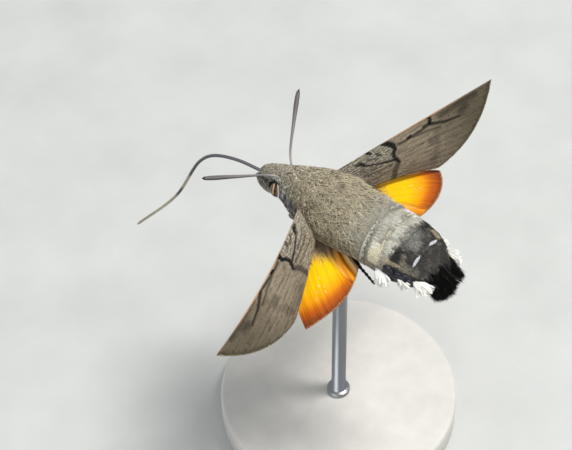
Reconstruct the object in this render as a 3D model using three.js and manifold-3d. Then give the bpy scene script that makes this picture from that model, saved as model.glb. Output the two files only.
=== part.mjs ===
// A hummingbird hawk moth (Macroglossum stellatarum) hovering on a plain display stand, at life size.
// Units are millimetres. +Z is up, the head points to -Y and the moth's own left is +X.
// The origin is the centre of the stand's underside. The moth itself is modelled in a level
// frame of its own, whose origin lies between the forewing roots, and is then lifted onto the rod.
import * as THREE from "three";
import { mergeVertices } from "three/addons/utils/BufferGeometryUtils.js";
import Module from "manifold-3d";

const wasm = await Module();
wasm.setup();
const V = (x, y, z) => new THREE.Vector3(x, y, z);

// Clearances and thicknesses shared by all the sub-parts
const GAP = 0.3;
const MEMBRANE = 0.5;
const FEELER_RADIUS = 0.26;
const POINT_RADIUS = 0.12;

// Stand
const BASE_RADIUS = 15;
const BASE_HEIGHT = 4;
const BASE_BEVEL = 0.5;
const ROD_RADIUS = 0.9;
const ROD_AT_Y = 3.4;
const FLIGHT_HEIGHT = 38;

// Body outline, out to the tips of the coat: y, half width, height above and below the centre line, centre z
const BODY = [
  [-8.3, 0.55, 0.6, 0.5, -0.2],
  [-7.9, 0.95, 1.0, 0.7, -0.15],
  [-7.0, 1.3, 1.65, 0.95, -0.1],
  [-5.8, 1.7, 2.15, 1.25, 0.0],
  [-4.6, 2.1, 2.6, 1.6, 0.1],
  [-3.4, 2.6, 3.1, 1.9, 0.2],
  [-2.0, 3.3, 3.5, 2.4, 0.3],
  [-0.2, 4.1, 3.95, 3.0, 0.4],
  [2.0, 4.6, 4.2, 3.6, 0.5],
  [5.0, 4.5, 3.95, 3.7, 0.6],
  [8.0, 4.3, 3.65, 3.4, 0.7],
  [11.0, 4.3, 3.5, 3.2, 0.65],
  [14.0, 4.0, 3.15, 2.9, 0.4],
  [15.6, 3.35, 2.65, 2.5, 0.15],
  [16.8, 2.45, 1.9, 1.8, -0.15],
];
const NECK_Y = -3.5;
const WAIST_Y = 6.4;
const HEAD_FRONT_Y = BODY[0][0];
const ABDOMEN_END_Y = BODY.at(-1)[0];
const BODY_SIDES = 28;

// Head
const EYE_RADII = V(0.8, 0.85, 1.0);
const EYE_AT = V(1.55, -4.75, 0.2);
const ANTENNA = [
  V(0.99, -4.5, 1.2),
  V(1.29, -4.88, 2.11),
  V(2.24, -5.75, 2.6),
  V(4.91, -7.42, 3.61),
  V(8.81, -9.6, 5.22),
];
const CLUB_RADIUS = 0.33;
const CLUB_FROM = 0.8;
const PALP = [V(0.7, -5.2, -1.35), V(0.75, -6.6, -1.55), V(0.65, -7.7, -1.35), V(0.45, -8.45, -0.75)];
const PALP_RADIUS = 0.52;

// Proboscis: forward from the face, a knee, then a long gentle reach down to where it feeds
const PROBOSCIS_ROOT = V(0, -7.6, -0.25);
const PROBOSCIS_KNEE = V(0, -15.6, -2.6);
const PROBOSCIS_TIP = V(0, -29.8, -25.4);
const PROBOSCIS_RADIUS = 0.27;

// Wings: the plan shape of each, the same on both sides, as points along its span and across it
const FORE_WING = {
  base: [V(-1.6, 0.2, 0), V(-0.6, 3.6, 0)],
  tip: V(22.36, -0.08, 0),
  corner: V(11.56, 6.18, 0),
  marginBulge: 1.4,
  camber: 0.55,
  arch: 0.5,
  leadingDrop: 0,
  veins: [0.07, 0.17, 0.26, 0.35, 0.47, 0.59, 0.71, 0.83, 0.94],
  cellEnd: 0.46,
  cellVeins: [3, 4, 5],
  stations: 15,
};
const HIND_WING = {
  base: [V(-3.2, -1.6, 0), V(-2.2, 2.7, 0)],
  tip: V(10.94, -1.17, 0),
  corner: V(3.7, 4.88, 0),
  marginBulge: 1.38,
  camber: 0.25,
  arch: 0.15,
  leadingDrop: 0.9,
  veins: [0.1, 0.24, 0.38, 0.52, 0.66, 0.8, 0.92],
  cellEnd: 0.5,
  cellVeins: [2, 3],
  stations: 11,
};
// How each wing is held: its root, the directions of its span and chord, and how far its edges bow.
// The two sides are caught at slightly different points of the stroke.
const WINGS = {
  left: {
    fore: {
      ...FORE_WING,
      root: V(4.39, -0.1, 2.07),
      span: V(0.954, 0.294, 0.056),
      chord: V(-0.191, 0.743, -0.643),
      leadingBow: 0.53,
      trailingBow: 0.16,
    },
    hind: {
      ...HIND_WING,
      root: V(3.99, 2.51, -1.57),
      span: V(0.777, 0.621, -0.105),
      chord: V(-0.618, 0.783, 0.062),
      leadingBow: -1.27,
      trailingBow: -0.47,
    },
  },
  right: {
    fore: {
      ...FORE_WING,
      root: V(4.36, -0.1, 2.11),
      span: V(0.961, 0.275, 0.031),
      chord: V(-0.136, 0.567, -0.813),
      leadingBow: -0.22,
      trailingBow: -0.34,
    },
    hind: {
      ...HIND_WING,
      root: V(4.9, 3.14, -2.25),
      span: V(0.918, 0.391, -0.067),
      chord: V(-0.392, 0.919, -0.02),
      leadingBow: -1.6,
      trailingBow: -0.48,
    },
  },
};
const VEIN_HEIGHT = 0.14;
const VEIN_HALF_WIDTH = 0.022;

// Brushes of long scales: side tufts as y, angle round the body from the dorsal line, length, count
const SIDE_TUFTS = [
  [11.6, 106, 1.5, 6],
  [14.2, 100, 1.2, 4],
  [15.9, 92, 1.7, 6],
];
const TUFT_WIDTH = 0.8;
const TUFT_SUNK = 1.2;
const FAN_BLADES = 8;
const FAN_LENGTH = 2.6;
const FAN_BLADE_WIDTH = 1.05;
const FAN_SPREAD = 13;
const FAN_HALF_WIDTH = 1.5;
const FAN_DROOP = 0.3;

const SIDES = [
  ["left", 1],
  ["right", -1],
];
const rad = THREE.MathUtils.degToRad;
const lerp = THREE.MathUtils.lerp;
const mirrored = (p, side) => V(p.x * side, p.y, p.z);

// Rings of equal length become one closed surface: their sides, and a fan over each end
function loft(rings) {
  const n = rings[0].length;
  const points = rings.flat();
  const first = points.length;
  const centre = (ring) => ring.reduce((sum, p) => sum.add(p), V(0, 0, 0)).divideScalar(n);
  points.push(centre(rings[0]), centre(rings.at(-1)));
  const last = (rings.length - 1) * n;
  const index = [];
  for (let j = 0; j < n; j++) {
    const k = (j + 1) % n;
    for (let i = 0; i < rings.length - 1; i++) {
      const a = i * n;
      index.push(a + j, a + k, a + n + k, a + j, a + n + k, a + n + j);
    }
    index.push(first, k, j, first + 1, last + j, last + k);
  }
  return solid(new THREE.BufferGeometry().setFromPoints(points).setIndex(index));
}

// A closed three.js geometry as a manifold solid, turned the right way out
function solid(geometry) {
  const bare = geometry.clone();
  bare.deleteAttribute("normal");
  bare.deleteAttribute("uv");
  const merged = mergeVertices(bare, 1e-4);
  const make = (triVerts) =>
    new wasm.Manifold(
      new wasm.Mesh({
        numProp: 3,
        vertProperties: new Float32Array(merged.attributes.position.array),
        triVerts,
      }),
    );
  const faces = new Uint32Array(merged.index.array);
  const made = make(faces);
  return made.volume() > 0 ? made : make(faces.reverse());
}

// A manifold solid, or its largest piece after a cut, as a three.js geometry
function geometryOf(made) {
  const body = made.decompose().sort((a, b) => b.volume() - a.volume())[0];
  const mesh = body.getMesh();
  const positions = new Float32Array(mesh.numVert * 3);
  for (let i = 0; i < mesh.numVert; i++)
    positions.set(mesh.vertProperties.subarray(i * mesh.numProp, i * mesh.numProp + 3), i * 3);
  const geometry = new THREE.BufferGeometry();
  geometry.setAttribute("position", new THREE.BufferAttribute(positions, 3));
  geometry.setIndex(new THREE.BufferAttribute(mesh.triVerts, 1));
  geometry.computeVertexNormals();
  return geometry;
}

// Catmull-Rom through the body's stations: half width, height above, height below and centre at y
function bodyAt(y) {
  let i = BODY.findIndex((row) => row[0] > y);
  i = i < 0 ? BODY.length - 1 : Math.max(i, 1);
  const row = (k) => BODY[THREE.MathUtils.clamp(k, 0, BODY.length - 1)];
  const [a, b] = [row(i - 1), row(i)];
  const t = THREE.MathUtils.clamp((y - a[0]) / (b[0] - a[0]), 0, 1);
  const slope = (k, c) => (row(k + 1)[c] - row(k - 1)[c]) / (row(k + 1)[0] - row(k - 1)[0]);
  return [1, 2, 3, 4].map((c) => {
    const h = b[0] - a[0];
    const m0 = slope(i - 1, c) * h;
    const m1 = slope(i, c) * h;
    const t2 = t * t;
    const t3 = t2 * t;
    return (2 * t3 - 3 * t2 + 1) * a[c] + (t3 - 2 * t2 + t) * m0 + (3 * t2 - 2 * t3) * b[c] + (t3 - t2) * m1;
  });
}

// A point on the body's outline at y and an angle from the dorsal line, moved out by grow
function bodyPoint(y, angle, grow = 0) {
  const [half, above, below, centre] = bodyAt(y);
  const c = Math.cos(angle);
  return V((half + grow) * Math.sin(angle), y, centre + ((c > 0 ? above : below) + grow) * c);
}

function bodyRing(y, grow) {
  const ring = [];
  for (let j = 0; j < BODY_SIDES; j++) ring.push(bodyPoint(y, (2 * Math.PI * j) / BODY_SIDES, grow));
  return ring;
}

// A length of the body, flat at both ends unless it closes in a rounded nose or tail
function bodyPart(from, to, steps, grow = 0) {
  const rings = [];
  for (let i = 0; i <= steps; i++) rings.push(bodyRing(lerp(from, to, i / steps), grow));
  return loft(rings);
}

// A round or flat tube along a curve, with its radius given along the way
function tube(curve, radiusAt, steps, sides, flatten = 1) {
  const frames = curve.computeFrenetFrames(steps, false);
  const rings = [];
  for (let i = 0; i <= steps; i++) {
    const centre = curve.getPointAt(i / steps);
    const radius = radiusAt(i / steps);
    rings.push(
      Array.from({ length: sides }, (_, j) => {
        const angle = (2 * Math.PI * j) / sides;
        return centre
          .clone()
          .addScaledVector(frames.normals[i], radius * Math.cos(angle))
          .addScaledVector(frames.binormals[i], radius * flatten * Math.sin(angle));
      }),
    );
  }
  return loft(rings);
}

// A flat tapered lock or long scale, from a root along a direction, bending towards droop at its end
function lock(root, direction, flat, length, width, droop) {
  const across = flat.clone().cross(direction).normalize();
  const up = direction.clone().cross(across).normalize();
  const profile = [
    [0, 0.62, 1],
    [0.35, 1, 1],
    [0.72, 0.95, 0.85],
    [1, 0.5, 0.45],
  ];
  const rings = profile.map(([t, w, h]) => {
    const centre = root
      .clone()
      .addScaledVector(direction, t * length)
      .addScaledVector(droop, t * t);
    const [x, z] = [(w * width) / 2, (h * MEMBRANE) / 2];
    return [
      [x, 0],
      [x * 0.6, z],
      [-x * 0.6, z],
      [-x, 0],
      [-x * 0.6, -z],
      [x * 0.6, -z],
    ].map(([p, q]) => centre.clone().addScaledVector(across, p).addScaledVector(up, q));
  });
  return loft(rings);
}

function ellipsoid(centre, radii, wide = 20, high = 14) {
  const ball = new THREE.SphereGeometry(1, wide, high).scale(radii.x, radii.y, radii.z);
  return solid(ball.translate(centre.x, centre.y, centre.z));
}

// A point of a wing in its own plane. u runs from root to margin, v from leading to trailing edge
function wingPlan(wing, u, v) {
  const bow = lerp(wing.leadingBow, wing.trailingBow, v);
  const base = wing.base[0].clone().lerp(wing.base[1], v);
  const along = wing.corner.clone().sub(wing.tip);
  const bulge = V(-along.y, along.x, 0).normalize().multiplyScalar(-4 * wing.marginBulge * v * (1 - v));
  const end = wing.tip.clone().addScaledVector(along, v).add(bulge);
  const point = base.lerp(end, u);
  point.y += 4 * bow * u * (1 - u);
  return point;
}

// How far a vein stands above the membrane at u, v: 1 on its crest
function veinAt(wing, u, v) {
  let most = 0;
  wing.veins.forEach((at, k) => {
    const inCell = wing.cellVeins.includes(k);
    const grown = inCell ? THREE.MathUtils.smoothstep(u, wing.cellEnd - 0.02, wing.cellEnd + 0.06) : 1;
    const near = Math.abs(v - at) < VEIN_HALF_WIDTH / 2 ? 1 : 0;
    most = Math.max(most, grown * near);
  });
  return most * (1 - 0.6 * u);
}

// The wing's middle surface in the moth's frame
function wingPoint(wing, u, v, side) {
  const plan = wingPlan(wing, u, v);
  const normal = wing.span.clone().cross(wing.chord).normalize();
  const drop = wing.leadingDrop * Math.max(0, 1 - v / 0.45) ** 2 * THREE.MathUtils.smoothstep(u, 0, 0.4);
  const lift = wing.camber * 4 * v * (1 - v) * (1 - 0.7 * u) + wing.arch * 4 * u * (1 - u) * (1 - v) - drop;
  const point = wing.root
    .clone()
    .addScaledVector(wing.span, plan.x)
    .addScaledVector(wing.chord, plan.y)
    .addScaledVector(normal, lift);
  return mirrored(point, side);
}

// A membrane of even thickness with its veins raised on both faces, split alike on both
function wingSolid(wing, side) {
  const lines = [0, 1];
  wing.veins.forEach((at) => lines.push(at - VEIN_HALF_WIDTH, at, at + VEIN_HALF_WIDTH));
  lines.sort((a, b) => a - b);
  const normal = mirrored(wing.span.clone().cross(wing.chord).normalize(), side);
  const [rows, columns] = [wing.stations, lines.length];
  const points = [];
  for (const face of [1, -1])
    for (let i = 0; i < rows; i++)
      for (const v of lines) {
        const u = i / (rows - 1);
        const edge = THREE.MathUtils.smoothstep(u, 0.8, 1);
        const half = (MEMBRANE / 2) * (1 - 0.4 * edge) + VEIN_HEIGHT * veinAt(wing, u, v);
        points.push(wingPoint(wing, u, v, side).addScaledVector(normal, face * half));
      }
  const at = (face, i, j) => face * rows * columns + i * columns + j;
  const index = [];
  for (let i = 0; i < rows - 1; i++)
    for (let j = 0; j < columns - 1; j++) {
      const corners = (f) => [at(f, i, j), at(f, i, j + 1), at(f, i + 1, j + 1), at(f, i + 1, j)];
      const [a, b, c, d] = corners(0);
      const [p, q, r, s] = corners(1);
      index.push(a, c, b, a, d, c, p, q, r, p, r, s);
    }
  const rim = [];
  for (let j = 0; j < columns - 1; j++) rim.push([0, j]);
  for (let i = 0; i < rows - 1; i++) rim.push([i, columns - 1]);
  for (let j = columns - 1; j > 0; j--) rim.push([rows - 1, j]);
  for (let i = rows - 1; i > 0; i--) rim.push([i, 0]);
  rim.forEach(([i, j], k) => {
    const [m, n] = rim[(k + 1) % rim.length];
    index.push(at(0, i, j), at(0, m, n), at(1, m, n), at(0, i, j), at(1, m, n), at(1, i, j));
  });
  return solid(new THREE.BufferGeometry().setFromPoints(points).setIndex(index));
}

const finish = (color, roughness, metalness = 0) =>
  new THREE.MeshStandardMaterial({ color, roughness, metalness });
const coat = finish(0x8f8672, 0.9);
const darkCoat = finish(0x6b6558, 0.9);
const blackScales = finish(0x1b1a18, 0.85);
const foreScales = finish(0x7d7160, 0.85);
const hindScales = finish(0xf0a21c, 0.8);
const eyeShell = finish(0x4a2c12, 0.25);
const horn = finish(0x5a5650, 0.6);
const palePaint = finish(0xe4e1da, 0.5);
const steel = finish(0x9a9c9e, 0.35, 1);

const part = new THREE.Group();
const moth = new THREE.Group();
moth.position.set(0, -ROD_AT_Y, FLIGHT_HEIGHT);
part.add(moth);

function add(group, name, made, material) {
  const mesh = new THREE.Mesh(geometryOf(made), material);
  mesh.name = name;
  group.add(mesh);
}

const headShape = (grow) => bodyPart(HEAD_FRONT_Y - grow, NECK_Y - GAP / 2 + grow, 9, grow);
const thoraxShape = (grow) => bodyPart(NECK_Y + GAP / 2 - grow, WAIST_Y - GAP / 2 + grow, 12, grow);
const abdomenShape = (grow) => bodyPart(WAIST_Y + GAP / 2 - grow, ABDOMEN_END_Y + grow, 14, grow);
const clearOfBody = [headShape, thoraxShape, abdomenShape].map((shape) => shape(GAP));
const clearHead = clearOfBody[0];

// Head, with a socket for each eye
let head = headShape(0);
for (const [, side] of SIDES)
  head = head.subtract(ellipsoid(mirrored(EYE_AT, side), EYE_RADII.clone().addScalar(GAP)));
add(moth, "head", head, coat);
for (const [name, side] of SIDES)
  add(moth, `eye_${name}`, ellipsoid(mirrored(EYE_AT, side), EYE_RADII), eyeShell);

// Antennae, thickening into a club and hooked at the tip
function antenna(side) {
  const path = ANTENNA.map((p) => mirrored(p, side));
  const radiusAt = (t) =>
    t < CLUB_FROM
      ? lerp(FEELER_RADIUS, CLUB_RADIUS, THREE.MathUtils.smoothstep(t, 0.3, CLUB_FROM))
      : lerp(CLUB_RADIUS, POINT_RADIUS, THREE.MathUtils.smoothstep(t, CLUB_FROM + 0.06, 1));
  return tube(new THREE.CatmullRomCurve3(path), radiusAt, 18, 8).subtract(clearHead);
}
for (const [name, side] of SIDES) add(moth, `antenna_${name}`, antenna(side), horn);

// Proboscis in three lengths of one curve, parted by thin cuts
const proboscisCurve = new THREE.CatmullRomCurve3([
  PROBOSCIS_ROOT,
  PROBOSCIS_ROOT.clone().lerp(PROBOSCIS_KNEE, 0.55).add(V(0, 0, 0.6)),
  PROBOSCIS_KNEE,
  PROBOSCIS_KNEE.clone().lerp(PROBOSCIS_TIP, 0.12).add(V(0, -0.55, 0.3)),
  PROBOSCIS_KNEE.clone().lerp(PROBOSCIS_TIP, 0.5).add(V(0, 0.35, -0.5)),
  PROBOSCIS_TIP,
]);
const proboscisLength = proboscisCurve.getLength();
class StretchOfCurve extends THREE.Curve {
  constructor(whole, from, to) {
    super();
    Object.assign(this, { whole, from, to });
  }
  getPoint(t, target = V(0, 0, 0)) {
    return target.copy(this.whole.getPointAt(lerp(this.from, this.to, t)));
  }
}
const halfCut = GAP / 2 / proboscisLength;
const [KNEE_FROM, KNEE_TO] = [0.28, 0.42];
const PROBOSCIS_PARTS = [
  ["proboscis_upper", 0, KNEE_FROM - halfCut, 8],
  ["proboscis_knee", KNEE_FROM + halfCut, KNEE_TO - halfCut, 10],
  ["proboscis_lower", KNEE_TO + halfCut, 1, 12],
];
function proboscis(from, to, steps, grow = 0) {
  const radiusAt = (t) => grow + PROBOSCIS_RADIUS * (1 - 0.25 * lerp(from, to, t) ** 2);
  return tube(new StretchOfCurve(proboscisCurve, from, to), radiusAt, steps, 8);
}
for (const [name, from, to, steps] of PROBOSCIS_PARTS)
  add(moth, name, proboscis(from, to, steps).subtract(clearHead), horn);

// Palps, upcurved on each side of the proboscis
function palp(side) {
  const curve = new THREE.CatmullRomCurve3(PALP.map((p) => mirrored(p, side)));
  const radiusAt = (t) => PALP_RADIUS * Math.sin(Math.PI * lerp(0.28, 0.94, t)) ** 0.7;
  return tube(curve, radiusAt, 10, 10, 0.9)
    .subtract(clearHead)
    .subtract(proboscis(0, KNEE_FROM, 8, GAP));
}
for (const [name, side] of SIDES) add(moth, `palp_${name}`, palp(side), coat);

// Thorax
add(moth, "thorax", thoraxShape(0), coat);

// Abdomen with its side tufts, all rooted well inside it and leaning back
function sideTuft([y, angle, length, count], side) {
  return Array.from({ length: count }, (_, k) => {
    const spread = k / (count - 1) - 0.5;
    const turn = rad(angle) + spread * 0.65;
    const leaves = bodyPoint(y - Math.abs(spread) * 0.8 + 0.7 * (k % 2), turn);
    const out = bodyPoint(y, turn, 1).sub(bodyPoint(y, turn, 0));
    const direction = out.clone().multiplyScalar(0.62).add(V(0, 0.8, 0)).normalize();
    const root = leaves.addScaledVector(direction, -TUFT_SUNK);
    const flat = out.clone().cross(direction).cross(direction).normalize();
    const made = [root, direction, flat].map((p) => mirrored(p, side));
    const reach = TUFT_SUNK + length * (1 - 0.35 * Math.abs(spread));
    return lock(made[0], made[1], made[2], reach, TUFT_WIDTH, V(0, 0.2, 0));
  });
}
let abdomen = abdomenShape(0);
for (const [, side] of SIDES)
  for (const tuft of SIDE_TUFTS) for (const piece of sideTuft(tuft, side)) abdomen = abdomen.add(piece);
add(moth, "abdomen", abdomen, darkCoat);

// Tail fan: two tiers of flat black vanes, spread a little from the end of the abdomen
function tailFan() {
  let fan = ellipsoid(V(0, ABDOMEN_END_Y + 0.3, -0.3), V(2.1, 1.3, 1.4), 16, 10);
  for (const [tier, count] of [[0, FAN_BLADES], [1, FAN_BLADES - 1]])
    for (let k = 0; k < count; k++) {
      const share = (2 * k) / (count - 1) - 1;
      const turn = rad(FAN_SPREAD * share);
      const direction = V(Math.sin(turn), Math.cos(turn), -FAN_DROOP - 0.2 * tier).normalize();
      const root = V(FAN_HALF_WIDTH * share, ABDOMEN_END_Y + 0.1, 0.15 - tier - 0.5 * share * share);
      const flat = V(0.5 * share, 0, 1).normalize();
      const uneven = 0.9 + 0.1 * Math.cos(2.4 * k + tier);
      fan = fan.add(lock(root, direction, flat, FAN_LENGTH * uneven, FAN_BLADE_WIDTH, V(0, 0, -FAN_DROOP)));
    }
  return fan.subtract(clearOfBody[2]);
}
add(moth, "tail_fan", tailFan(), blackScales);

// Wings, cut clear of the body that they grow from
for (const [name, side] of SIDES) {
  for (const [kind, scales] of [["fore", foreScales], ["hind", hindScales]]) {
    let made = wingSolid(WINGS[name][kind], side);
    for (const clear of clearOfBody) made = made.subtract(clear);
    add(moth, `${kind}wing_${name}`, made, scales);
  }
}

// Legs, folded close under the body: knee points from coxa to claw, and radii along the way
const LEGS = {
  foreleg: [V(0.9, -1.6, -1.2), V(1.2, -2.6, -2.9), V(1.2, -3, -3.4), V(1, -1.6, -3.8), V(0.8, 0.4, -4)],
  midleg: [V(1.7, 0.8, -1.8), V(2.9, -0.3, -3.5), V(2.8, 1.4, -4.2), V(2.0, 4.2, -4.4), V(1.6, 6.4, -4.2)],
  hindleg: [V(1.6, 3.2, -1.8), V(2.6, 4.6, -3.7), V(2.2, 6.5, -3.15), V(2.9, 8.5, -3), V(3.75, 10.95, -3)],
};
const THIGH_RADIUS = 0.42;
function leg(knees, side) {
  const curve = new THREE.CatmullRomCurve3(knees.map((p) => mirrored(p, side)), false, "centripetal");
  const radiusAt = (t) =>
    lerp(THIGH_RADIUS, FEELER_RADIUS, THREE.MathUtils.smoothstep(t, 0.1, 0.55)) * (t > 0.97 ? 0.6 : 1);
  let made = tube(curve, radiusAt, 22, 7);
  for (const clear of clearOfBody) made = made.subtract(clear);
  return made;
}
for (const [kind, knees] of Object.entries(LEGS))
  for (const [name, side] of SIDES) add(moth, `${kind}_${name}`, leg(knees, side), horn);

// Stand: a disc and one rod up to the underside of the thorax
const discProfile = [
  [0, 0],
  [BASE_RADIUS - BASE_BEVEL / 2, 0],
  [BASE_RADIUS, BASE_BEVEL / 2],
  [BASE_RADIUS, BASE_HEIGHT - BASE_BEVEL],
  [BASE_RADIUS - BASE_BEVEL, BASE_HEIGHT],
  [0, BASE_HEIGHT],
].map(([x, y]) => new THREE.Vector2(x, y));
add(part, "stand_base", solid(new THREE.LatheGeometry(discProfile, 48).rotateX(Math.PI / 2)), palePaint);
const rodLength = FLIGHT_HEIGHT - BASE_HEIGHT - GAP;
const rod = new THREE.CylinderGeometry(ROD_RADIUS, ROD_RADIUS, rodLength, 20)
  .rotateX(Math.PI / 2)
  .translate(0, 0, BASE_HEIGHT + GAP + rodLength / 2);
add(part, "stand_rod", solid(rod).subtract(clearOfBody[1].translate([0, -ROD_AT_Y, FLIGHT_HEIGHT])), steel);

export default part;
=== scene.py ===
import math

import bpy
import numpy as np
from mathutils import Matrix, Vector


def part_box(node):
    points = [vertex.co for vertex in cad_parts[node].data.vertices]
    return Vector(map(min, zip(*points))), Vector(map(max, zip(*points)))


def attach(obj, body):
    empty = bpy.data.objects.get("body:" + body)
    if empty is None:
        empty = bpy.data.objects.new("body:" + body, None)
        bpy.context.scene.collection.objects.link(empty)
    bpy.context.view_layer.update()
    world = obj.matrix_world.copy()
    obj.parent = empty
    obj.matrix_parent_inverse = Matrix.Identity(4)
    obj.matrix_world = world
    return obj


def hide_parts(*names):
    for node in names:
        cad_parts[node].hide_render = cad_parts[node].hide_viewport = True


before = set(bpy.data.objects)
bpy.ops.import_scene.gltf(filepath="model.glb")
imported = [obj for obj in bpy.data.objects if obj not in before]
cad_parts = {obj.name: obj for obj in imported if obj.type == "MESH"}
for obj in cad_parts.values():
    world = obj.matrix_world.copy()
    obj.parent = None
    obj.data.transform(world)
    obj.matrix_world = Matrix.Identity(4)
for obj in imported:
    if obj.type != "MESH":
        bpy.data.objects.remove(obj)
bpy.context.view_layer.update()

MM = 0.001
MOTH_ORIGIN = np.array([0.0, -3.4, 38.0])
rng = np.random.default_rng(7)

# The photo's camera, fitted to paired points of the moth, with the moth's origin in its frame
CAMERA_AZIMUTH = 129.0
CAMERA_ELEVATION = 49.6
CAMERA_ROLL = -0.95
CAMERA_LENS = 120
MOTH_IN_VIEW = np.array([3.653, 2.676, -218.54])

# Body outline at the coat's tips: y, half width, height above and below the centre line, centre z.
# The last two rows are the root of the tail brush.
BODY = np.array([
    [-8.3, 0.55, 0.6, 0.5, -0.2],
    [-7.9, 0.95, 1.0, 0.7, -0.15],
    [-7.0, 1.3, 1.65, 0.95, -0.1],
    [-5.8, 1.7, 2.15, 1.25, 0.0],
    [-4.6, 2.1, 2.6, 1.6, 0.1],
    [-3.4, 2.6, 3.1, 1.9, 0.2],
    [-2.0, 3.3, 3.5, 2.4, 0.3],
    [-0.2, 4.1, 3.95, 3.0, 0.4],
    [2.0, 4.6, 4.2, 3.6, 0.5],
    [5.0, 4.5, 3.95, 3.7, 0.6],
    [8.0, 4.3, 3.65, 3.4, 0.7],
    [11.0, 4.3, 3.5, 3.2, 0.65],
    [14.0, 4.0, 3.15, 2.9, 0.4],
    [15.6, 3.35, 2.65, 2.5, 0.15],
    [16.8, 2.45, 1.9, 1.8, -0.15],
    [17.6, 2.05, 1.3, 1.45, -0.45],
    [18.2, 1.5, 0.75, 0.9, -0.7],
])
# Depth of the coat over the skin, as y and depth
COAT_DEPTH = np.array([
    [-8.3, 0.1],
    [-6.5, 0.14],
    [-4.5, 0.18],
    [-2.0, 0.26],
    [1.0, 0.34],
    [5.0, 0.36],
    [7.2, 0.22],
    [9.0, 0.14],
    [18.2, 0.16],
])
# Rear edges of the abdomen's rings and how far each stands over the next
RING_EDGES = np.array([7.1, 9.2, 11.1, 13.0, 15.1, 16.6])
RING_STEP = 0.07

# Eyes, then points along the left feeler, the left palp, the proboscis and the left legs
EYE_RADII = np.array([0.8, 0.85, 1.0])
EYE_AT = np.array([1.55, -4.75, 0.2])
EYE_FACET = 0.05
ANTENNA = [
    [0.99, -4.5, 1.2],
    [1.29, -4.88, 2.11],
    [2.24, -5.75, 2.6],
    [4.91, -7.42, 3.61],
    [8.81, -9.6, 5.22],
]
ANTENNA_HOOK = [-0.02, 0.12, 0.1]
ANTENNA_JOINTS = 58
PALP = [[0.7, -5.2, -1.35], [0.75, -6.6, -1.55], [0.65, -7.7, -1.35], [0.45, -8.45, -0.75]]
PALP_RADIUS = 0.46
PROBOSCIS_ROOT = np.array([0.0, -7.6, -0.25])
PROBOSCIS_KNEE = np.array([0.0, -15.6, -2.6])
PROBOSCIS_TIP = np.array([0.0, -29.8, -25.4])
PROBOSCIS_RADIUS = 0.2
LEGS = {
    "foreleg": [[0.9, -1.6, -1.2], [1.2, -2.6, -2.9], [1.2, -3.0, -3.4], [1.0, -1.6, -3.8], [0.8, 0.4, -4.0]],
    "midleg": [[1.7, 0.8, -1.8], [2.9, -0.3, -3.5], [2.8, 1.4, -4.2], [2.0, 4.2, -4.4], [1.6, 6.4, -4.2]],
    "hindleg": [[1.6, 3.2, -1.8], [2.6, 4.6, -3.7], [2.2, 6.5, -3.15], [2.9, 8.5, -3.0], [3.75, 10.95, -3.0]],
}

# Wings: the plan shape, the same on both sides, then how each is held
FORE_WING = {
    "base": [[-1.6, 0.2], [-0.6, 3.6]],
    "tip": [22.36, -0.08],
    "corner": [11.56, 6.18],
    "bulge": 1.4,
    "camber": 0.55,
    "arch": 0.5,
    "leading_drop": 0.0,
    "veins": [0.07, 0.17, 0.26, 0.35, 0.47, 0.59, 0.71, 0.83, 0.94],
    "cell_end": 0.46,
    "cell_veins": [3, 4, 5],
}
HIND_WING = {
    "base": [[-3.2, -1.6], [-2.2, 2.7]],
    "tip": [10.94, -1.17],
    "corner": [3.7, 4.88],
    "bulge": 1.38,
    "camber": 0.25,
    "arch": 0.15,
    "leading_drop": 0.9,
    "veins": [0.1, 0.24, 0.38, 0.52, 0.66, 0.8, 0.92],
    "cell_end": 0.5,
    "cell_veins": [2, 3],
}


def held(wing, root, span, chord, bows, pale=0.0):
    """A wing's plan and its hold: its root, the ways its span and chord point, how far its leading
    and trailing edges bow, and how much paler it is painted than the other side's, as painted light."""
    return {**wing, "root": root, "span": span, "chord": chord, "bows": bows, "pale": pale}


WINGS = {
    "fore_left": held(FORE_WING, (4.39, -0.1, 2.07), (0.954, 0.294, 0.056), (-0.191, 0.743, -0.643),
                      bows=(0.53, 0.16), pale=1.0),
    "hind_left": held(HIND_WING, (3.99, 2.51, -1.57), (0.777, 0.621, -0.105), (-0.618, 0.783, 0.062),
                      bows=(-1.27, -0.47)),
    "fore_right": held(FORE_WING, (4.36, -0.1, 2.11), (0.961, 0.275, 0.031), (-0.136, 0.567, -0.813),
                       bows=(-0.22, -0.34)),
    "hind_right": held(HIND_WING, (4.9, 3.14, -2.25), (0.918, 0.391, -0.067), (-0.392, 0.919, -0.02),
                       bows=(-1.6, -0.48)),
}
# Thickness of a wing, its veins' height and width, and the depth of a hindwing's pleats
MEMBRANE = 0.11
VEIN_HEIGHT = 0.06
VEIN_WIDTH = 0.013
PLEAT_DEPTH = 0.17
FRINGE_LENGTH = 0.24

# Side tufts: y, angle round the body from the dorsal line in degrees, length, broad scales,
# and how far the tuft leans out on the left and on the right
SIDE_TUFTS = [
    (11.6, 104, 1.75, 7, 0.62, 0.25),
    (14.3, 100, 1.0, 4, 0.62, 0.95),
    (16.0, 92, 1.75, 7, 0.62, 0.95),
]
TUFT_WIDTH = 0.34
BRUSH_END = 19.3

# Numbers of strands and scales, on each side where a piece has two
BRUSH_STRANDS = 12000
BRUSH_CLUMPS = 160
STRAY_HAIRS = 7
RING_FRINGE_SCALES = 2400
PATCH_SCALES = 1500
STREAK_SCALES = 40
FLANK_SCALES = 90
PALP_DOWN = 1300
WING_FRINGE_SCALES = 1500
LEG_DOWN = 700

# The joined skin's voxel size, and how far the skin is darkened as painted shade under the coat
SKIN_VOXEL = 0.11
SKIN_PAINTED_SHADE = 0.6
# How far a strand curls sideways as a share of its length, and the triangles that a piece may hold
STRAND_CURL = 0.12
PIECE_LIMIT = 190_000
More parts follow.
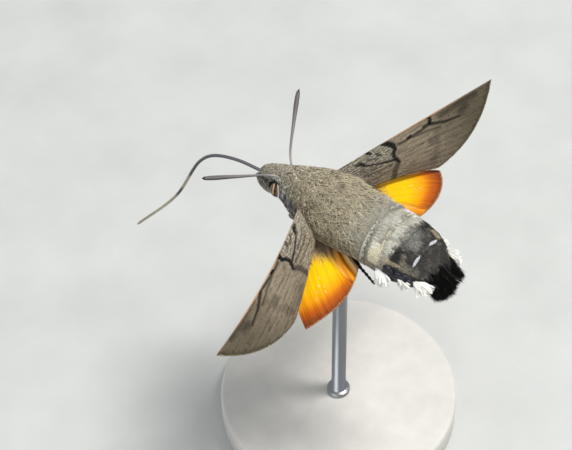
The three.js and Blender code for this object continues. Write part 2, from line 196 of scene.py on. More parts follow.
# The body's unwrap: margin, reach both ways, the length that it covers and the size of a strand on it
UV_MARGIN = 0.02
UV_REACH = 0.94
UV_LENGTH = 28
UV_PATCH = 0.003
SIDES = (("left", 1), ("right", -1))


# Colour and vector helpers


def linear(*srgb):
    """An sRGB colour of 0 to 255 as linear values."""
    c = np.array(srgb, float) / 255
    return np.where(c <= 0.04045, c / 12.92, ((c + 0.055) / 1.055) ** 2.4)


def unit(v):
    return v / np.maximum(np.linalg.norm(v, axis=-1, keepdims=True), 1e-9)


def smooth(low, high, x):
    t = np.clip((x - low) / (high - low), 0, 1)
    return t * t * (3 - 2 * t)


def band(x, centre, half, soft):
    """1 within half of centre, falling to 0 over soft."""
    return 1 - smooth(half, half + soft, np.abs(x - centre))


def mix(a, b, share):
    return a + (b - a) * np.asarray(share)[..., None]


def painted(colour, *layers):
    """A colour under layers of tone and share, laid on from first to last."""
    for tone, share in layers:
        colour = mix(colour, tone, share)
    return colour


def mottle(points, size, seed):
    """Smooth noise of about -1 to 1 over points, with blotches of about this size."""
    waves = np.random.default_rng(seed)
    total = np.zeros(len(points))
    for _ in range(9):
        direction = waves.normal(size=points.shape[-1])
        direction *= waves.uniform(0.6, 1.5) * 2 * math.pi / size / np.linalg.norm(direction)
        total += np.cos(points @ direction + waves.uniform(0, 2 * math.pi))
    return total / 3


def line_share(s, c, points, half, soft):
    """1 on a line through points of a plane, with its half width given at each point."""
    points = np.array(points, float)
    half = np.broadcast_to(half, len(points))
    best = np.zeros(s.shape)
    for a, b, wa, wb in zip(points[:-1], points[1:], half[:-1], half[1:]):
        along = b - a
        t = np.clip(((s - a[0]) * along[0] + (c - a[1]) * along[1]) / (along @ along), 0, 1)
        distance = np.hypot(s - a[0] - t * along[0], c - a[1] - t * along[1])
        width = wa + (wb - wa) * t
        best = np.maximum(best, 1 - smooth(width, width + soft, distance))
    return best


def hermite(t, a, b, leave, arrive):
    """A curve from a to b with its slopes at both ends."""
    start = (2 * t**3 - 3 * t**2 + 1) * a + (t**3 - 2 * t**2 + t) * leave
    return start + (3 * t**2 - 2 * t**3) * b + (t**3 - t**2) * arrive


def spline(points, count):
    """Evenly spaced points of a centripetal Catmull-Rom curve."""
    p = np.array(points, float)
    p = np.vstack([2 * p[0] - p[1], p, 2 * p[-1] - p[-2]])
    t = np.linspace(0, 1, 40, endpoint=False)[:, None]
    found = []
    for i in range(1, len(p) - 2):
        a, b, c, d = p[i - 1 : i + 3]
        step0, step1, step2 = (max(np.linalg.norm(q), 1e-6) ** 0.5 for q in (b - a, c - b, d - c))
        m1 = ((b - a) / step0 - (c - a) / (step0 + step1) + (c - b) / step1) * step1
        m2 = ((c - b) / step1 - (d - b) / (step1 + step2) + (d - c) / step2) * step1
        found.append(hermite(t, b, c, m1, m2))
    dense = np.vstack([*found, p[-2][None]])
    length = np.concatenate([[0], np.cumsum(np.linalg.norm(np.diff(dense, axis=0), axis=1))])
    wanted = np.linspace(0, length[-1], count)
    return np.stack([np.interp(wanted, length, dense[:, k]) for k in range(3)], -1)


def sided(points, side):
    """Points or ways given for the left side, mirrored if side is -1."""
    return np.asarray(points, float) * np.array([side, 1, 1])


# Mesh helpers


def add_object(name, data):
    made = bpy.data.objects.new(name, data)
    bpy.context.scene.collection.objects.link(made)
    return made


def mesh_piece(name, points, faces, colours, uv, material, slot, rounded=True):
    """A piece from points in the moth's frame, faces of 3 or 4 corners, a colour per point and
    coordinates per point or corner."""
    mesh = bpy.data.meshes.new(name)
    faces = np.asarray(faces, np.int32)
    corners = faces.shape[1]
    mesh.vertices.add(len(points))
    mesh.vertices.foreach_set("co", ((points + MOTH_ORIGIN) * MM).astype(np.float32).ravel())
    mesh.loops.add(faces.size)
    mesh.loops.foreach_set("vertex_index", faces.ravel())
    mesh.polygons.add(len(faces))
    mesh.polygons.foreach_set("loop_start", np.arange(0, faces.size, corners, dtype=np.int32))
    mesh.polygons.foreach_set("use_smooth", np.full(len(faces), rounded))
    mesh.update(calc_edges=True)
    layer = mesh.color_attributes.new("coat_colour", "FLOAT_COLOR", "POINT")
    rgba = np.ones((len(colours), 4), np.float32)
    rgba[:, :3] = np.clip(colours, 0, 1)
    layer.data.foreach_set("color", rgba.ravel())
    mesh.color_attributes.active_color = layer
    layer = mesh.uv_layers.new(name="OFBake")
    uv = np.asarray(uv, np.float32)
    layer.uv.foreach_set("vector", (uv if len(uv) == faces.size else uv[faces.ravel()]).ravel())
    mesh.materials.append(material)
    piece = add_object(name, mesh)
    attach(piece, "root")
    return piece


def grid_faces(rows, columns, closed=False):
    """Quads of a grid of points, joined round its columns if closed."""
    i = np.arange(rows - 1)[:, None]
    j = np.arange(columns if closed else columns - 1)[None]
    k = (j + 1) % columns
    a, b, c, d = (i * columns + j), (i * columns + k), ((i + 1) * columns + k), ((i + 1) * columns + j)
    return np.stack([np.broadcast_to(x, (rows - 1, j.shape[1])) for x in (a, b, c, d)], -1).reshape(-1, 4)


def closed_grid(rows, columns):
    """Triangles of a grid joined round its columns, with its ends drawn to the two points after it."""
    quads = grid_faces(rows, columns, closed=True)
    first = rows * columns
    base = first - columns
    j = np.arange(columns)
    k = (j + 1) % columns
    low = np.stack([np.full(columns, first), k, j], -1)
    high = np.stack([np.full(columns, first + 1), base + j, base + k], -1)
    return np.vstack([quads[:, [0, 1, 2]], quads[:, [0, 2, 3]], low, high])


def joined(parts):
    """Points, faces and further values per point of several parts, as one of each."""
    start = np.cumsum([0] + [len(part[0]) for part in parts])
    columns = [np.vstack(column) for column in zip(*parts)]
    columns[1] = np.vstack([part[1] + first for part, first in zip(parts, start)])
    return columns


def tube(path, radii, sides, flatten=1.0, up=(0.0, 0.0, 1.0)):
    """Points, triangles, surface coordinates and outward ways of a closed tube along a path."""
    tangent = unit(np.gradient(path, axis=0))
    across = unit(np.cross(tangent, np.array(up)))
    normal = np.cross(across, tangent)
    turn = np.linspace(0, 2 * math.pi, sides, endpoint=False)
    c, s = np.cos(turn)[:, None], np.sin(turn)[:, None]
    ring = across[:, None] * c + normal[:, None] * s * flatten
    points = path[:, None] + ring * radii[:, None, None]
    u = np.repeat(np.linspace(0, 1, len(path)), sides)
    v = np.tile(turn / (2 * math.pi), len(path))
    uv = np.vstack([np.stack([u, v], -1), [[0, 0], [1, 0]]])
    facing = np.vstack([ring.reshape(-1, 3), -tangent[:1], tangent[-1:]])
    return np.vstack([points.reshape(-1, 3), path[:1], path[-1:]]), closed_grid(len(path), sides), uv, facing


# Body surface


def body_at(y):
    """Half width, height above, height below and centre z of the outline at each y."""
    y = np.asarray(y, float)
    n = len(BODY)
    i = np.clip(np.searchsorted(BODY[:, 0], y, side="right"), 1, n - 1)
    previous, following = np.clip(i - 2, 0, n - 1), np.clip(i + 1, 0, n - 1)
    a, b = BODY[i - 1], BODY[i]
    h = (b[..., 0] - a[..., 0])[..., None]
    t = np.clip((y - a[..., 0])[..., None] / h, 0, 1)
    m0 = (b - BODY[previous]) / (b - BODY[previous])[..., :1] * h
    m1 = (BODY[following] - a) / (BODY[following] - a)[..., :1] * h
    row = hermite(t, a, b, m0, m1)
    return tuple(row[..., k] for k in range(1, 5))


def ring_step(y):
    """How far the abdomen's rings stand out, rising to each rear edge and dropping behind it."""
    y = np.asarray(y, float)
    k = np.clip(np.searchsorted(RING_EDGES, y), 1, len(RING_EDGES) - 1)
    t = np.clip((y - RING_EDGES[k - 1]) / (RING_EDGES[k] - RING_EDGES[k - 1]), 0, 1)
    return RING_STEP * (t**1.5 - 0.6) * smooth(6.6, 7.4, y)


def skin_point(y, turn):
    """A point of the skin, under the coat, at y and an angle from the dorsal line."""
    half, above, below, centre = body_at(y)
    out = ring_step(y) - np.interp(y, COAT_DEPTH[:, 0], COAT_DEPTH[:, 1])
    c, s = np.cos(turn), np.sin(turn)
    rise = np.where(c > 0, above, below)
    return np.stack([(half + out) * s, y + 0 * s, centre + (rise + out) * c], -1)


def skin_frame(y, turn):
    """Point, outward normal and backward tangent of the skin."""
    reach, nudge = 0.14, 0.01
    point = skin_point(y, turn)
    back = unit(skin_point(y + reach, turn) - skin_point(y - reach, turn))
    around = unit(skin_point(y, turn + nudge) - skin_point(y, turn - nudge))
    normal = unit(np.cross(back, around))
    outward = np.sign((normal * np.stack([np.sin(turn), 0 * y, np.cos(turn)], -1)).sum(-1, keepdims=True))
    return point, normal * outward, back


def skin_uv(y, turn):
    """The unwrap of the body: round it and along it, cut along the belly."""
    wrapped = (np.asarray(turn) + math.pi) % (2 * math.pi)
    along = UV_MARGIN + UV_REACH * (y - BODY[0, 0]) / UV_LENGTH
    return np.stack([UV_MARGIN + UV_REACH * wrapped / (2 * math.pi), along], -1)


# Coat colours. Each region is a share of 0 to 1 over y and the angle from the dorsal line

HEAD_GREY = linear(176, 169, 153)
THORAX_GREY = linear(178, 168, 144)
THORAX_OLIVE = linear(158, 147, 119)
THORAX_PALE = linear(205, 196, 170)
CHEST_WHITE = linear(214, 208, 192)
ABDOMEN_GREY = linear(178, 174, 158)
# The abdomen's bluish-white top: partly its own colour, partly painted sheen
ABDOMEN_BLUE_SHEEN = linear(220, 219, 206)
ABDOMEN_BROWN = linear(148, 138, 119)
RING_PALE = linear(222, 222, 214)
REAR_DARK = linear(60, 56, 50)
REAR_BROWN = linear(136, 128, 112)
# Painted highlight on the top of the dark rear
REAR_HIGHLIGHT = linear(150, 148, 142)
BELLY_BROWN = linear(128, 110, 90)
CREAM = linear(232, 226, 196)
BEIGE = linear(202, 184, 152)
WHITE = linear(250, 250, 246)
STREAK_BLUE = linear(184, 188, 196)
BLACK = linear(18, 17, 18)
# Bluish black: black scales with a painted bluish sheen
BLUE_BLACK_SHEEN = linear(50, 54, 66)
CHEEK_GREY = linear(86, 84, 82)
RING_GREY = linear(128, 126, 122)
FLANK_GREY = linear(158, 158, 156)
SPOT_BROWN = linear(120, 78, 44)


def degrees_round(turn):
    """Angle from the dorsal line in degrees, more than 0 on the left side and less on the right."""
    return np.degrees((turn + math.pi) % (2 * math.pi) - math.pi)


def body_colour(y, turn, points):
    """The marking of the coat and the skin."""
    angle = degrees_round(turn)
    side = np.abs(angle)
    blotch = mottle(points, 1.6, 3)
    fine = mottle(points, 0.55, 4)
    along = mottle(points * [1, 0.3, 1], 0.4, 8)
    colour = painted(
        HEAD_GREY + 0 * points,
        (THORAX_GREY, smooth(-5.0, -1.0, y)),
        (THORAX_OLIVE, 0.75 * smooth(15, 50, side) * smooth(-3.0, 1.5, y) * (1 - smooth(5, 7, y))),
        (THORAX_PALE, 0.35 * smooth(1.0, 5.5, y) * smooth(-0.4, 1.0, blotch)),
        (THORAX_OLIVE * 0.6, 0.35 * smooth(0.2, 1.1, mottle(points, 2.4, 5)) * smooth(-2, 2, y)),
    )

    # Front of the abdomen: grey rings with bluish rear parts whose top is partly bluish-white painted sheen,
    # each edged by a pale line and its painted shadow
    abdomen = mix(ABDOMEN_GREY + 0 * points, ABDOMEN_BLUE_SHEEN, smooth(8.0, 11.0, y) * smooth(75, 30, side))
    for front, rear in zip(RING_EDGES[:3], RING_EDGES[1:4]):
        brown = 0.65 * smooth(front + 0.9, rear - 0.3, y) * (y < rear) * (side > 12)
        abdomen = mix(abdomen, ABDOMEN_BROWN, brown)
    brown = 0.45 * smooth(0.0, 1.0, along + 0.5 * blotch) + 0.4 * smooth(45, 85, side)
    abdomen = mix(abdomen, ABDOMEN_BROWN, brown)
    colour = mix(colour, abdomen, smooth(5.2, 7.6, y + 0.35 * fine))
    for edge, strength in zip(RING_EDGES[:3], (0.55, 0.9, 0.35)):
        line = strength * band(y, edge - 0.02, 0.06, 0.07) * smooth(8, 24, side)
        shadow = band(y, edge + 0.2, 0.09, 0.16) * smooth(12, 30, side)
        colour = painted(colour, (RING_PALE, line), (ABDOMEN_BROWN * 0.5, 0.7 * strength * shadow))

    # Flank patches, then the dark mottled rear with its black corners, beige curves, painted highlights on
    # its top, a painted shadow behind one ring edge and its black end
    broken = smooth(-0.1, 0.5, mottle(points, 0.7, 9))
    patch = band(y, 10.55, 0.62, 0.2) * band(side, 64, 16, 7)
    rear = painted(
        REAR_DARK + 0 * points,
        (REAR_BROWN, 0.75 * smooth(-0.2, 1.0, blotch + 0.4 * fine)),
        (BLACK, 0.6 * smooth(0.2, 1.1, mottle(points, 1.3, 6))),
        # Painted highlights on the top of the dark rear
        (REAR_HIGHLIGHT, 0.8 * band(y, 13.1, 0.4, 0.8) * band(angle, 4, 12, 20)),
        (REAR_HIGHLIGHT * 1.1, 0.7 * band(y, 14.1, 0.2, 0.5) * band(angle, 10, 5, 12)),
        (BLACK, 0.6 * band(y, 14.75, 0.1, 0.35) * smooth(60, 30, side) * smooth(-0.6, 0.6, blotch)),
    )
    dark_from = 12.5 + 0.35 * fine - 0.25 * smooth(40, 0, side)
    smudge = np.hypot((y - 12.85) / 0.62, (side - 47 + 10 * (y - 12.85)) / 15) + 0.25 * fine
    curve = band(side + 2.5 * np.abs(y - 12.6), 63.5, 2.2, 1.8) * band(y, 12.75, 0.9, 0.2)
    flank_black = 0.8 * smooth(16.0, 17.2, y) * smooth(45, 75, side)
    colour = painted(
        colour,
        (CREAM, 0.75 * band(y, 11.05 + 0.3 * smooth(20, 65, side), 0.07, 0.08) * broken),
        (CREAM * 1.1, 0.95 * patch),
        (WHITE, patch * smooth(-0.3, 0.5, along) * smooth(64, 50, side)),
        (WHITE, 0.95 * band(y, 10.65, 0.7, 0.15) * band(angle, -55, 15, 4)),
        (rear, smooth(-0.65, 0.65, y - dark_from)),
        (REAR_BROWN * 1.15, 0.75 * band(y, 14.7, 0.8, 0.6) * band(angle, 60, 6, 7)),
        (BEIGE, 0.85 * band(y, 14.35, 0.45, 0.3) * band(angle, -46, 6, 6)),
        (BEIGE, 0.6 * band(y, 16.5, 0.4, 0.25) * band(angle, -60, 4, 4)),
        (BLACK, 0.97 * smooth(1.25, 0.55, smudge)),
        (BLACK, smooth(11.9, 12.5, y) * smooth(66, 72, side) * (1 - smooth(118, 135, side))),
        (BEIGE * 0.9, 0.9 * curve),
        # Painted shadow just behind the ring edge at y 15.1; the grey line next is the edge itself
        (BLACK * 1.4, 0.85 * band(y, 15.22, 0.07, 0.12) * smooth(70, 40, side)),
        (RING_GREY, 0.7 * band(y, 15.02, 0.05, 0.06) * smooth(36, 28, side)),
        (BLACK, np.maximum(smooth(16.3, 17.5, y + 0.4 * fine), flank_black)),
    )

    # Pale chest and brown belly, dark mottled cheek, a streaked line from the eye to the wing,
    # a brown spot behind the antenna, a white spot behind the eye and the chin
    under = smooth(104, 128, side)
    cheek = smooth(58, 70, side + 6 * fine) * (1 - smooth(100, 112, side)) * (1 - smooth(-5.0, -4.4, y))
    flank = band(side, 82, 14, 6) * smooth(-4.3, -3.8, y) * (1 - smooth(-0.8, 0.4, y))
    return painted(
        colour,
        (CHEST_WHITE, under * (1 - smooth(4.5, 7.5, y))),
        (BELLY_BROWN, under * smooth(4.5, 7.5, y) * (1 - smooth(15.0, 16.4, y))),
        (CHEEK_GREY, 0.9 * cheek),
        (WHITE * 0.7, 0.6 * cheek * smooth(0.35, 0.9, mottle(points, 0.5, 14))),
        (FLANK_GREY, 0.8 * flank),
        (CHEEK_GREY * 0.6, 0.85 * flank * smooth(0.1, 0.6, mottle(points * [1, 0.35, 1], 0.5, 15))),
        (CHEEK_GREY * 0.7, 0.7 * band(y, -5.1, 0.7, 0.3) * band(side, 56, 3, 4)),
        (WHITE * 0.8, 0.85 * band(y, -5.0, 0.55, 0.3) * band(side, 48, 3, 4)),
        (SPOT_BROWN, 0.9 * band(y, -3.9, 0.14, 0.16) * band(side, 16, 3, 4)),
        (WHITE, 0.5 * band(y, -3.45, 0.17, 0.15) * band(side, 64, 15, 6)),
        (CHEST_WHITE, smooth(98, 116, side) * (1 - smooth(-3.0, -1.0, y))),
    )


# Materials


def tuned(made, **values):
    """Sets a node's properties, or its inputs of these names with underscores for spaces."""
    for key, value in values.items():
        if hasattr(made, key):
            setattr(made, key, value)
        else:
            made.inputs[key.replace("_", " ")].default_value = value
    return made


class Surface:
    """A material in the making, with a shader that is given a colour and a relief."""

    def __init__(self, name, **settings):
        self.material = bpy.data.materials.new(name)
        self.material.use_nodes = True
        self.tree = self.material.node_tree
        self.shader = tuned(self.tree.nodes["Principled BSDF"], **settings)

    def node(self, kind, **values):
        return tuned(self.tree.nodes.new(f"ShaderNode{kind}"), **values)

    def join(self, source, output, target, entry):
        self.tree.links.new(source.outputs[output], target.inputs[entry])

    def noise(self, size, stretch, **values):
        """Noise over the piece's own shape, with grains of about this size."""
        place = self.node("TexCoord")
        scale = self.node("Mapping", Scale=[k / (size * MM) for k in stretch])
        made = self.node("TexNoise", Scale=1.0, **values)
        self.join(place, "Object", scale, "Vector")
        self.join(scale, "Vector", made, "Vector")
        return made

    def paint(self, tone, output):
        """Colours the shader with the piece's own colours, scaled by a tone."""
        colour = self.node("VertexColor", layer_name="coat_colour")
        shade = self.node("VectorMath", operation="SCALE")
        self.join(colour, "Color", shade, 0)
        self.join(tone, output, shade, "Scale")
        self.join(shade, "Vector", self.shader, "Base Color")

    def relief(self, source, output, strength, depth, invert=False):
        bump = self.node("Bump", Strength=strength, Distance=depth * MM, invert=invert)
        self.join(source, output, bump, "Height")
        self.join(bump, "Normal", self.shader, "Normal")


def coat_material(name, roughness, grain_size, grain, bump, stretch=(1, 1, 1), sheen=0.0, specular=0.4):
    """The painted colour, varied by fine noise, with a matching relief."""
    made = Surface(name, Roughness=roughness, Sheen_Weight=sheen, Specular_IOR_Level=specular)
    noise = made.noise(grain_size, stretch, Detail=4.0, Roughness=0.6)
    tone = made.node("MapRange", From_Min=0.3, From_Max=0.7, To_Min=1 - grain, To_Max=1 + grain)
    made.join(noise, "Fac", tone, "Value")
    made.paint(tone, "Result")
    made.relief(noise, "Fac", bump, grain_size * 0.5)
    return made.material


FUR = coat_material("fur", 0.75, 0.25, 0.12, 0.2, sheen=0.1, specular=0.3)
SKIN = coat_material("skin", 0.7, 0.12, 0.3, 0.8, stretch=(1, 0.4, 1))
SATIN = coat_material("satin_scales", 0.55, 0.2, 0.1, 0.2, sheen=0.15)
GLOSSY_SCALES = coat_material("glossy_scales", 0.42, 0.2, 0.15, 0.2)
VELVET = coat_material("black_velvet", 0.75, 0.2, 0.15, 0.2, specular=0.15)
HORN = coat_material("horn", 0.42, 0.1, 0.18, 0.4)
LEG_SCALES = coat_material("leg_scales", 0.65, 0.1, 0.25, 0.6)


def wing_material(name, roughness, grain):
    """Painted wing colour broken up by rows of tiny scales that run along the wing."""
    made = Surface(name, Roughness=roughness, Specular_IOR_Level=0.15)
    plan = made.node("Attribute", attribute_name="wing_plan")
    rows = made.node("Mapping", Scale=(6.5, 12.0, 1.0))
    cells = made.node("TexVoronoi", Scale=1.0)
    streak = made.node("Mapping", Scale=(1.1, 9.0, 1.0))
    streaks = made.node("TexNoise", Scale=1.0, Detail=5.0, Roughness=0.62)
    tone = made.node("MapRange", To_Min=1 - grain, To_Max=1 + grain)
    sweep = made.node("MapRange", From_Min=0.3, From_Max=0.7, To_Min=1 - grain * 0.7, To_Max=1 + grain * 0.7)
    both = made.node("Math", operation="MULTIPLY")
    made.join(plan, "Vector", rows, "Vector")
    made.join(plan, "Vector", streak, "Vector")
    made.join(rows, "Vector", cells, "Vector")
    made.join(streak, "Vector", streaks, "Vector")
    made.join(cells, "Color", tone, "Value")
    made.join(streaks, "Fac", sweep, "Value")
    made.join(tone, "Result", both, 0)
    made.join(sweep, "Result", both, 1)
    made.paint(both, "Value")
    made.relief(cells, "Distance", 0.35, 0.03)
    return made.material


FORE_SCALES = wing_material("forewing_scales", 0.68, 0.2)
HIND_SCALES = wing_material("hindwing_scales", 0.6, 0.05)


def eye_material():
    """Glossy shell over small facets."""
    made = Surface("eye_shell", Roughness=0.22, Coat_Weight=0.3, Coat_Roughness=0.08,
                   Specular_IOR_Level=0.25)
    place = made.node("TexCoord")
    facets = made.node("TexVoronoi", Scale=1 / (EYE_FACET * MM))
    tone = made.node("MapRange", From_Max=0.6, To_Min=1.12, To_Max=0.7)
    made.join(place, "Object", facets, "Vector")
    made.join(facets, "Distance", tone, "Value")
    made.paint(tone, "Result")
    made.relief(facets, "Distance", 0.25, 0.012, invert=True)
    return made.material


def stand_material(name, colour, roughness, metallic, size, stretch=(1, 1, 1)):
    """Plain paint or steel with a faint grain."""
    made = Surface(name, Roughness=roughness, Metallic=metallic)
    noise = made.noise(size, stretch, Detail=5.0, Roughness=0.55)
    ramp = made.node("ValToRGB")
    tones = (colour * 0.93, np.minimum(colour * 1.04, 1))
    for element, at, tone in zip(ramp.color_ramp.elements, (0.3, 0.7), tones):
        element.position = at
        element.color = (*tone, 1)
    polish = made.node("MapRange", To_Min=roughness - 0.07, To_Max=roughness + 0.1)
    made.join(noise, "Fac", ramp, "Fac")
    made.join(noise, "Fac", polish, "Value")
    made.join(ramp, "Color", made.shader, "Base Color")
    made.join(polish, "Result", made.shader, "Roughness")
    made.relief(noise, "Fac", 0.06, 0.05)
    return made.material


# Strands and flat scales: closed tapered prisms of three corners


def strands(name, root, normal, lie, length, width, lift, droop, colour, uv, slot, material=FUR,
            end=0, flat=0.5, tip_light=1.25, root_dark=0.5, rounded=True):
    """Makes strands that leave their roots along the lie, raised by lift and bent down by droop.
    End is the tip's share of the width, 0 for a point."""
    count = len(root)
    length, width, lift = (
        np.broadcast_to(np.asarray(x, float), count)[:, None] for x in (length, width, lift)
    )
    start = unit(lie * np.cos(lift) + normal * np.sin(lift))
    across = unit(np.cross(start, normal))
    curl = rng.normal(size=(count, 1)) * STRAND_CURL
    points, tints = [], []
    for at, wide in zip((0, 0.5, 1), (0.75, 1.0, end)):
        centre = root + length * (start * at - normal * droop * at**2 + across * curl * at**2)
        half = across * width * wide / 2
        ring = [centre]
        if wide:
            ring = [centre - half, centre + half, centre + normal * width * wide * flat]
        # Painted light and shade: each strand is darker at its root, where the coat is in shade, and lighter
        # at its tip
        shade = root_dark + (tip_light - root_dark) * at**0.8
        points += ring
        tints += [colour * shade] * len(ring)
    points, tints = np.stack(points, 1), np.stack(tints, 1)
    corners = points.shape[1]
    turns = ((0, 1), (1, 2), (2, 0))
    faces = [[0, 1, 2]]
    for low in range(0, corners - 3, 3):
        pointed = corners - low < 6
        for a, b in turns:
            p, q = low + a, low + b
            faces += [[p, low + 3, q]] if pointed else [[p, p + 3, q + 3], [p, q + 3, q]]
    if end:
        faces.append([corners - 3, corners - 1, corners - 2])
    faces = np.array(faces)
    k = np.arange(corners)
    patch = np.stack([(k % 3 - 1) / 2, k / (corners - 1) - 0.5], -1) * UV_PATCH
    coords = uv[:, None] + patch[None]
    per_piece = PIECE_LIMIT // len(faces)
    parts = math.ceil(count / per_piece)
    for number in range(parts):
        chosen = slice(number * count // parts, (number + 1) * count // parts)
        n = chosen.stop - chosen.start
        index = (faces[None] + np.arange(n)[:, None, None] * corners).reshape(-1, 3)
        label = f"{name}_{number + 1}" if parts > 1 else name
        mesh_piece(label, points[chosen].reshape(-1, 3), index, tints[chosen].reshape(-1, 3),
                   coords[chosen].reshape(-1, 2), material, slot, rounded)


def scatter(y_low, y_high, spacing, turn_low=-math.pi, turn_high=math.pi):
    """Evenly spread roots on the skin, jittered and in mixed order, as y and angle."""
    rows = np.arange(y_low, y_high, spacing)
    ys, turns = [], []
    for k, y in enumerate(rows):
        half, above, below, _ = body_at(y)
        round_length = math.pi * (half + (above + below) / 2) * (turn_high - turn_low) / (2 * math.pi)
        n = max(3, int(round_length / spacing))
        step = (turn_high - turn_low) / n
        turns.append(turn_low + (np.arange(n) + 0.5 * (k % 2) + rng.uniform(-0.45, 0.45, n)) * step)
        ys.append(y + rng.uniform(-0.5, 0.5, n) * spacing)
    y, turn = np.concatenate(ys), np.concatenate(turns)
    order = rng.permutation(len(y))
    return np.clip(y, BODY[0, 0] + 0.02, BODY[-1, 0] - 0.02)[order], turn[order]


def clear_of_eyes(points, margin):
    """True for points that lie outside both eyes grown by margin."""
    clear = np.ones(points.shape[:-1], bool)
    for side in (1, -1):
        clear &= (((points - sided(EYE_AT, side)) / (EYE_RADII + margin)) ** 2).sum(-1) > 1
    return clear


def pepper(count, dark, light, depth):
    """Random brightness: most strands near 1, some dark, some light."""
    draw = rng.uniform(size=count)
    shade = np.exp(rng.normal(size=count) * depth)
    return np.where(draw < dark, shade * 0.5, np.where(draw > 1 - light, shade * 1.3, shade))[:, None]


# Coats: strands of a tuft, how far apart they start and how far they draw together, length, width,
# lift, droop, tangle, and the shares of dark and of light tufts with how much all of them vary
COATS = {
    "coat_head": (3, 0.07, 0.3, 0.36, 0.06, 0.42, 0.1, 0.5, (0.2, 0.3, 0.24)),
    "coat_collar": (3, 0.09, 0.3, 0.48, 0.07, 0.34, 0.12, 0.5, (0.2, 0.3, 0.26)),
    "coat_thorax": (3, 0.12, 0.4, 0.75, 0.065, 0.26, 0.14, 0.45, (0.2, 0.26, 0.26)),
    "coat_long_hair": (1, 0.1, 0.0, 1.35, 0.052, 0.24, 0.12, 0.75, (0.15, 0.3, 0.2)),
    "coat_abdomen_front": (2, 0.06, 0.1, 0.38, 0.1, 0.12, 0.05, 0.06, (0.02, 0.03, 0.035)),
    "coat_abdomen_rear": (2, 0.08, 0.1, 0.38, 0.075, 0.16, 0.06, 0.22, (0.14, 0.12, 0.16)),
    "white_patches": (2, 0.05, 0.2, 0.3, 0.05, 0.2, 0.08, 0.35, (0.0, 0.25, 0.1)),
}


def fur(name, y, turn, slot, sweep=0.0, tint=(BLACK, 0.0), sunk=0.05, **look):
    """Tufts of strands on the skin, swept sideways, tinted by a colour and its share, and sunk in."""
    per_tuft, spread, clump, length, width, lift, droop, tangle, contrast = COATS[name]
    point, normal, back = skin_frame(y, turn)
    around = np.cross(normal, back)
    leftward = np.sign(around[:, :1] * np.sin(turn)[:, None])
    sidewards = leftward * np.sin(np.abs(turn))[:, None] * sweep
    lean = rng.normal(size=(len(y), 1)) * tangle
    lie = unit(back + around * (sidewards + lean))
    tuft_length = length * rng.uniform(0.75, 1.25, len(y))
    tuft_lift = lift * rng.uniform(0.6, 1.4, len(y))
    shade = pepper(len(y), *contrast)
    many = np.repeat(np.arange(len(y)), per_tuft)
    a = rng.uniform(-spread, spread, (len(many), 1))
    b = rng.uniform(-spread, spread, (len(many), 1))
    offset = around[many] * a + back[many] * b
    root = point[many] + offset - normal[many] * sunk
    own_length = tuft_length[many] * rng.uniform(0.8, 1.15, len(many))
    tip_lie = unit(lie[many] * own_length[:, None] - offset * clump)
    colour = body_colour(y, turn, point)[many] * shade[many]
    colour = colour * np.exp(rng.normal(size=(len(many), 1)) * contrast[2])
    colour = mix(colour, tint[0], np.full(len(many), tint[1]))
    reach = root + tip_lie * own_length[:, None] * 0.6 + normal[many] * 0.15
    keep = clear_of_eyes(root, 0.05) & clear_of_eyes(reach, 0.12) & clear_of_eyes((root + reach) / 2, 0.1)
    uv = skin_uv(y, turn)[many]
    strands(name, root[keep], normal[many][keep], tip_lie[keep], own_length[keep], width,
            tuft_lift[many][keep], droop, colour[keep], uv[keep], slot, **look)


# Skin of head, thorax and abdomen with the palps, in one closed surface


def palp_tube(side, sides=20, count=24):
    radii = PALP_RADIUS * np.sin(math.pi * np.linspace(0.28, 0.94, count)) ** 0.7
    return tube(spline(sided(PALP, side), count), radii, sides, 0.9)


def one_surface(points, faces):
    """Points and quads of one even surface round closed parts that overlap."""
    mesh = bpy.data.meshes.new("body_skin")
    mesh.from_pydata(points.tolist(), [], faces.tolist())
    rough = add_object("rough_skin", mesh)
    join = rough.modifiers.new("one_surface", "REMESH")
    join.mode = "VOXEL"
    join.voxel_size = SKIN_VOXEL
    settle = rough.modifiers.new("settle", "SMOOTH")
    settle.iterations = 2
    depsgraph = bpy.context.evaluated_depsgraph_get()
    even = bpy.data.meshes.new_from_object(rough.evaluated_get(depsgraph))
    bpy.data.objects.remove(rough)
    place = np.zeros(len(even.vertices) * 3, np.float32)
    even.vertices.foreach_get("co", place)
    corner = np.zeros(len(even.loops), np.int32)
    even.loops.foreach_get("vertex_index", corner)
    return place.reshape(-1, 3).astype(float), corner.reshape(-1, 4)


def make_skin():
    """The body's skin with the palps, darkened as painted shade under the coat that covers it."""
    rows, columns = 190, 112
    y = np.linspace(BODY[0, 0], BODY[-1, 0], rows)
    turn = np.linspace(0, 2 * math.pi, columns, endpoint=False)
    rings = skin_point(*np.meshgrid(y, turn, indexing="ij")).reshape(-1, 3)
    ends = np.stack([skin_point(y[:1], turn).mean(0), skin_point(y[-1:], turn).mean(0)])
    ends[1, 1] += 0.2
    body = (np.vstack([rings, ends]), closed_grid(rows, columns)[:, [0, 2, 1]])
    points, faces = one_surface(*joined([body] + [palp_tube(side)[:2] for _, side in SIDES]))
    y = np.clip(points[:, 1], BODY[0, 0], BODY[-1, 0])
    half, above, below, centre = body_at(y)
    height = points[:, 2] - centre
    turn = np.arctan2(points[:, 0] / half, height / np.where(height > 0, above, below))
    # Painted shade: the skin under the coat is darker than the coat
    colours = body_colour(y, turn, points) * SKIN_PAINTED_SHADE
    uv = skin_uv(y, turn)[faces]
    wraps = uv[..., 0].max(1) - uv[..., 0].min(1) > 0.5
    uv[wraps, :, 0] = np.where(uv[wraps, :, 0] < 0.5, uv[wraps, :, 0] + UV_REACH, uv[wraps, :, 0])
    piece = mesh_piece("body_skin", points, faces, colours, uv.reshape(-1, 2), SKIN, "body_fur")
    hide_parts("head", "thorax", "abdomen", "palp_left", "palp_right")


